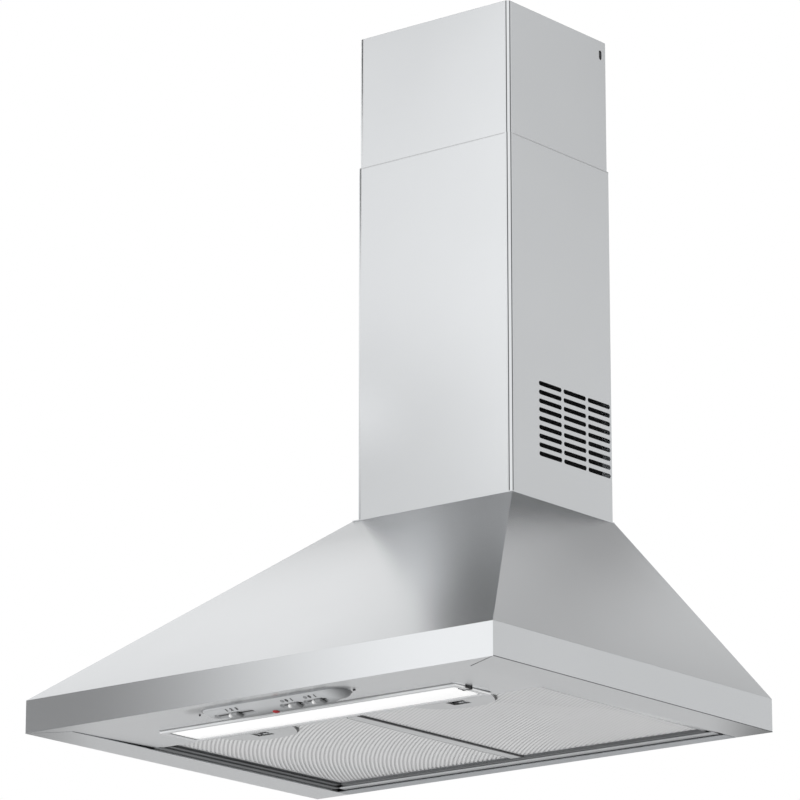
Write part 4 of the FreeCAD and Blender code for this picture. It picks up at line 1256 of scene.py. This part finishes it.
def side_bars(side):
    """Steps and upright of the seat's left or right side."""
    bars = []
    for near, far, rear, z0, z1 in (
            (-seat_lap, seat_step, seat_rear, first_step, first_top),
            (seat_step - seat_lap, 2 * seat_step, seat_rear, second_step, second_top),
            (2 * seat_step - seat_wall, 2 * seat_step, opening_rear, second_step, seat_top)):
        x0, x1 = sorted((side * (opening_half - near), side * (opening_half - far)))
        bars.append((x0, x1, seat_front, rear, z0, z1))
    return bars


step_y = opening_rear - seat_step
wall_y = step_y - seat_step
rear_bar = about(0.0, seat_half, step_y, seat_rear, first_step, first_top)
inner_bars = [
    about(0.0, seat_half, wall_y, step_y + seat_lap, second_step, second_top),
    about(0.0, seat_half, wall_y, wall_y + seat_wall, second_step, seat_top)]
bar_piece("seat_rear", [rear_bar], seat_edge, silver)
# Painted shade: dark left side and inner back steps; the right side stays bare steel.
seat = bar_piece("seat_steps", side_bars(-1) + inner_bars, seat_edge, seat_painted_shade)
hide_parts("filter_seat")
bar_piece("seat_right", side_bars(1), seat_edge, steel)
ledge = about(
    0.0, opening_half - 2 * seat_step, seat_front, plate_front, ledge_level, ledge_level + ledge_sheet)
bar_piece("front_ledge", [ledge], ledge_sheet / 4, steel)
# A pale strip along the left flange's inner edge: painted highlight.
flange_highlight = (-seat_half, -seat_half + highlight_wide, panel_rear, opening_rear, -highlight_proud, first_step)
bar_piece("flange_highlight", [flange_highlight], highlight_wide / 4, pale)
print("seat round an opening", round(2 * opening_half, 3), "m wide")

# %% [markdown]
# ## Fold lines and edges
# Two fine dark lines run down the fold at the chimney's right front corner: painted reflections of dark
# surroundings in its bend. Five strips side by side cover the fold, so that each has clean shading of its
# own.
# The lower sleeve ends in a hem, a black plate of painted shade lies inside the slot for the bracket's screw,
# and a dark strip of painted reflection marks the skirt's lower edge. Each is a narrow strip that lies a
# hair's breadth off the sheet.

# %% Fold lines
line_lift = 0.08 * mm
fold_radius = 6.0 * mm
fold_spans = (-1.0, 21.0, 32.0, 59.0, 70.0, 91.0)
fold_steps = 4
streak_rough = (0.30, 0.36)
dark_reflection_steel = brushed("dark_reflection_steel", (0.10, 0.105, 0.11), (0.14, 0.145, 0.15), streak_rough, level_streaks)


def strip(name, points, z0, z1, material, body="hood"):
    """Upright strip along a line of points."""
    verts = [(x, y, z) for x, y in points for z in (z0, z1)]
    new_piece(name, verts, lattice(len(points), 2, flip=True), material, "brushed_steel", body)


def fold_points(low, high, start, end):
    """Points round part of a sleeve's right front fold, between two angles."""
    reach = fold_radius + line_lift
    turns = [radians(start + (end - start) * share) for share in shares(fold_steps)]
    x = high.x - fold_radius
    y = low.y + fold_radius
    return [(x + reach * sin(turn), y - reach * cos(turn)) for turn in turns]


# The dark strips between the steel ones are painted reflections in the fold.
for index, span in enumerate(zip(fold_spans, fold_spans[1:])):
    look = (steel, dark_reflection_steel)[index % 2]
    points = fold_points(sleeve_low, sleeve_high, *span)
    strip(f"fold_lower_{index}", points, sleeve_low.z, sleeve_high.z, look)
    points = fold_points(upper_low, upper_high, *span)
    strip(f"fold_upper_{index}", points, upper_low.z, upper_high.z, look, "upper_sleeve")
print(len(fold_spans) - 1, "strips on each fold")

# %% Hem, slots and lower edges
hem_height = 1.2 * mm
slot_depth = 0.95 * mm
slot_half = Vector((4.0, 7.0)) * mm
slot_from_wall = 10.3 * mm
slot_below_top = 16.1 * mm
edge_height = 0.8 * mm
hem_steel = brushed("hem_steel", (0.60, 0.61, 0.62), (0.64, 0.65, 0.66), streak_rough, level_streaks)
hem_x = sleeve_high.x + line_lift
hem_y = sleeve_low.y - line_lift
turn_x = sleeve_high.x - fold_radius
turn_y = sleeve_low.y + fold_radius
for word, points in (
        ("front", [(-turn_x, hem_y), (turn_x, hem_y)]), ("right", [(hem_x, turn_y), (hem_x, 0.0)]),
        ("left", [(-hem_x, 0.0), (-hem_x, turn_y)])):
    strip("hem_" + word, points, sleeve_high.z - hem_height, sleeve_high.z, hem_steel)
slot_z = upper_high.z - slot_below_top
for side, word in sides:
    x = side * (upper_high.x - slot_depth)
    points = [(x, -slot_from_wall - slot_half.x), (x, -slot_from_wall + slot_half.x)]
    strip("slot_shade_" + word, points, slot_z - slot_half.y, slot_z + slot_half.y, black, "upper_sleeve")
skirt_low, skirt_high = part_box("canopy_right")
# Painted reflection: dark strips along the skirt's lower side edges.
x = skirt_high.x + line_lift
for word, points in (
        ("right", [(x, skirt_low.y), (x, 0.0)]), ("left", [(-x, 0.0), (-x, skirt_low.y)])):
    strip("edge_" + word, points, skirt_low.z, skirt_low.z + edge_height, dark_reflection_steel)
print("hem, slots and lower edges")
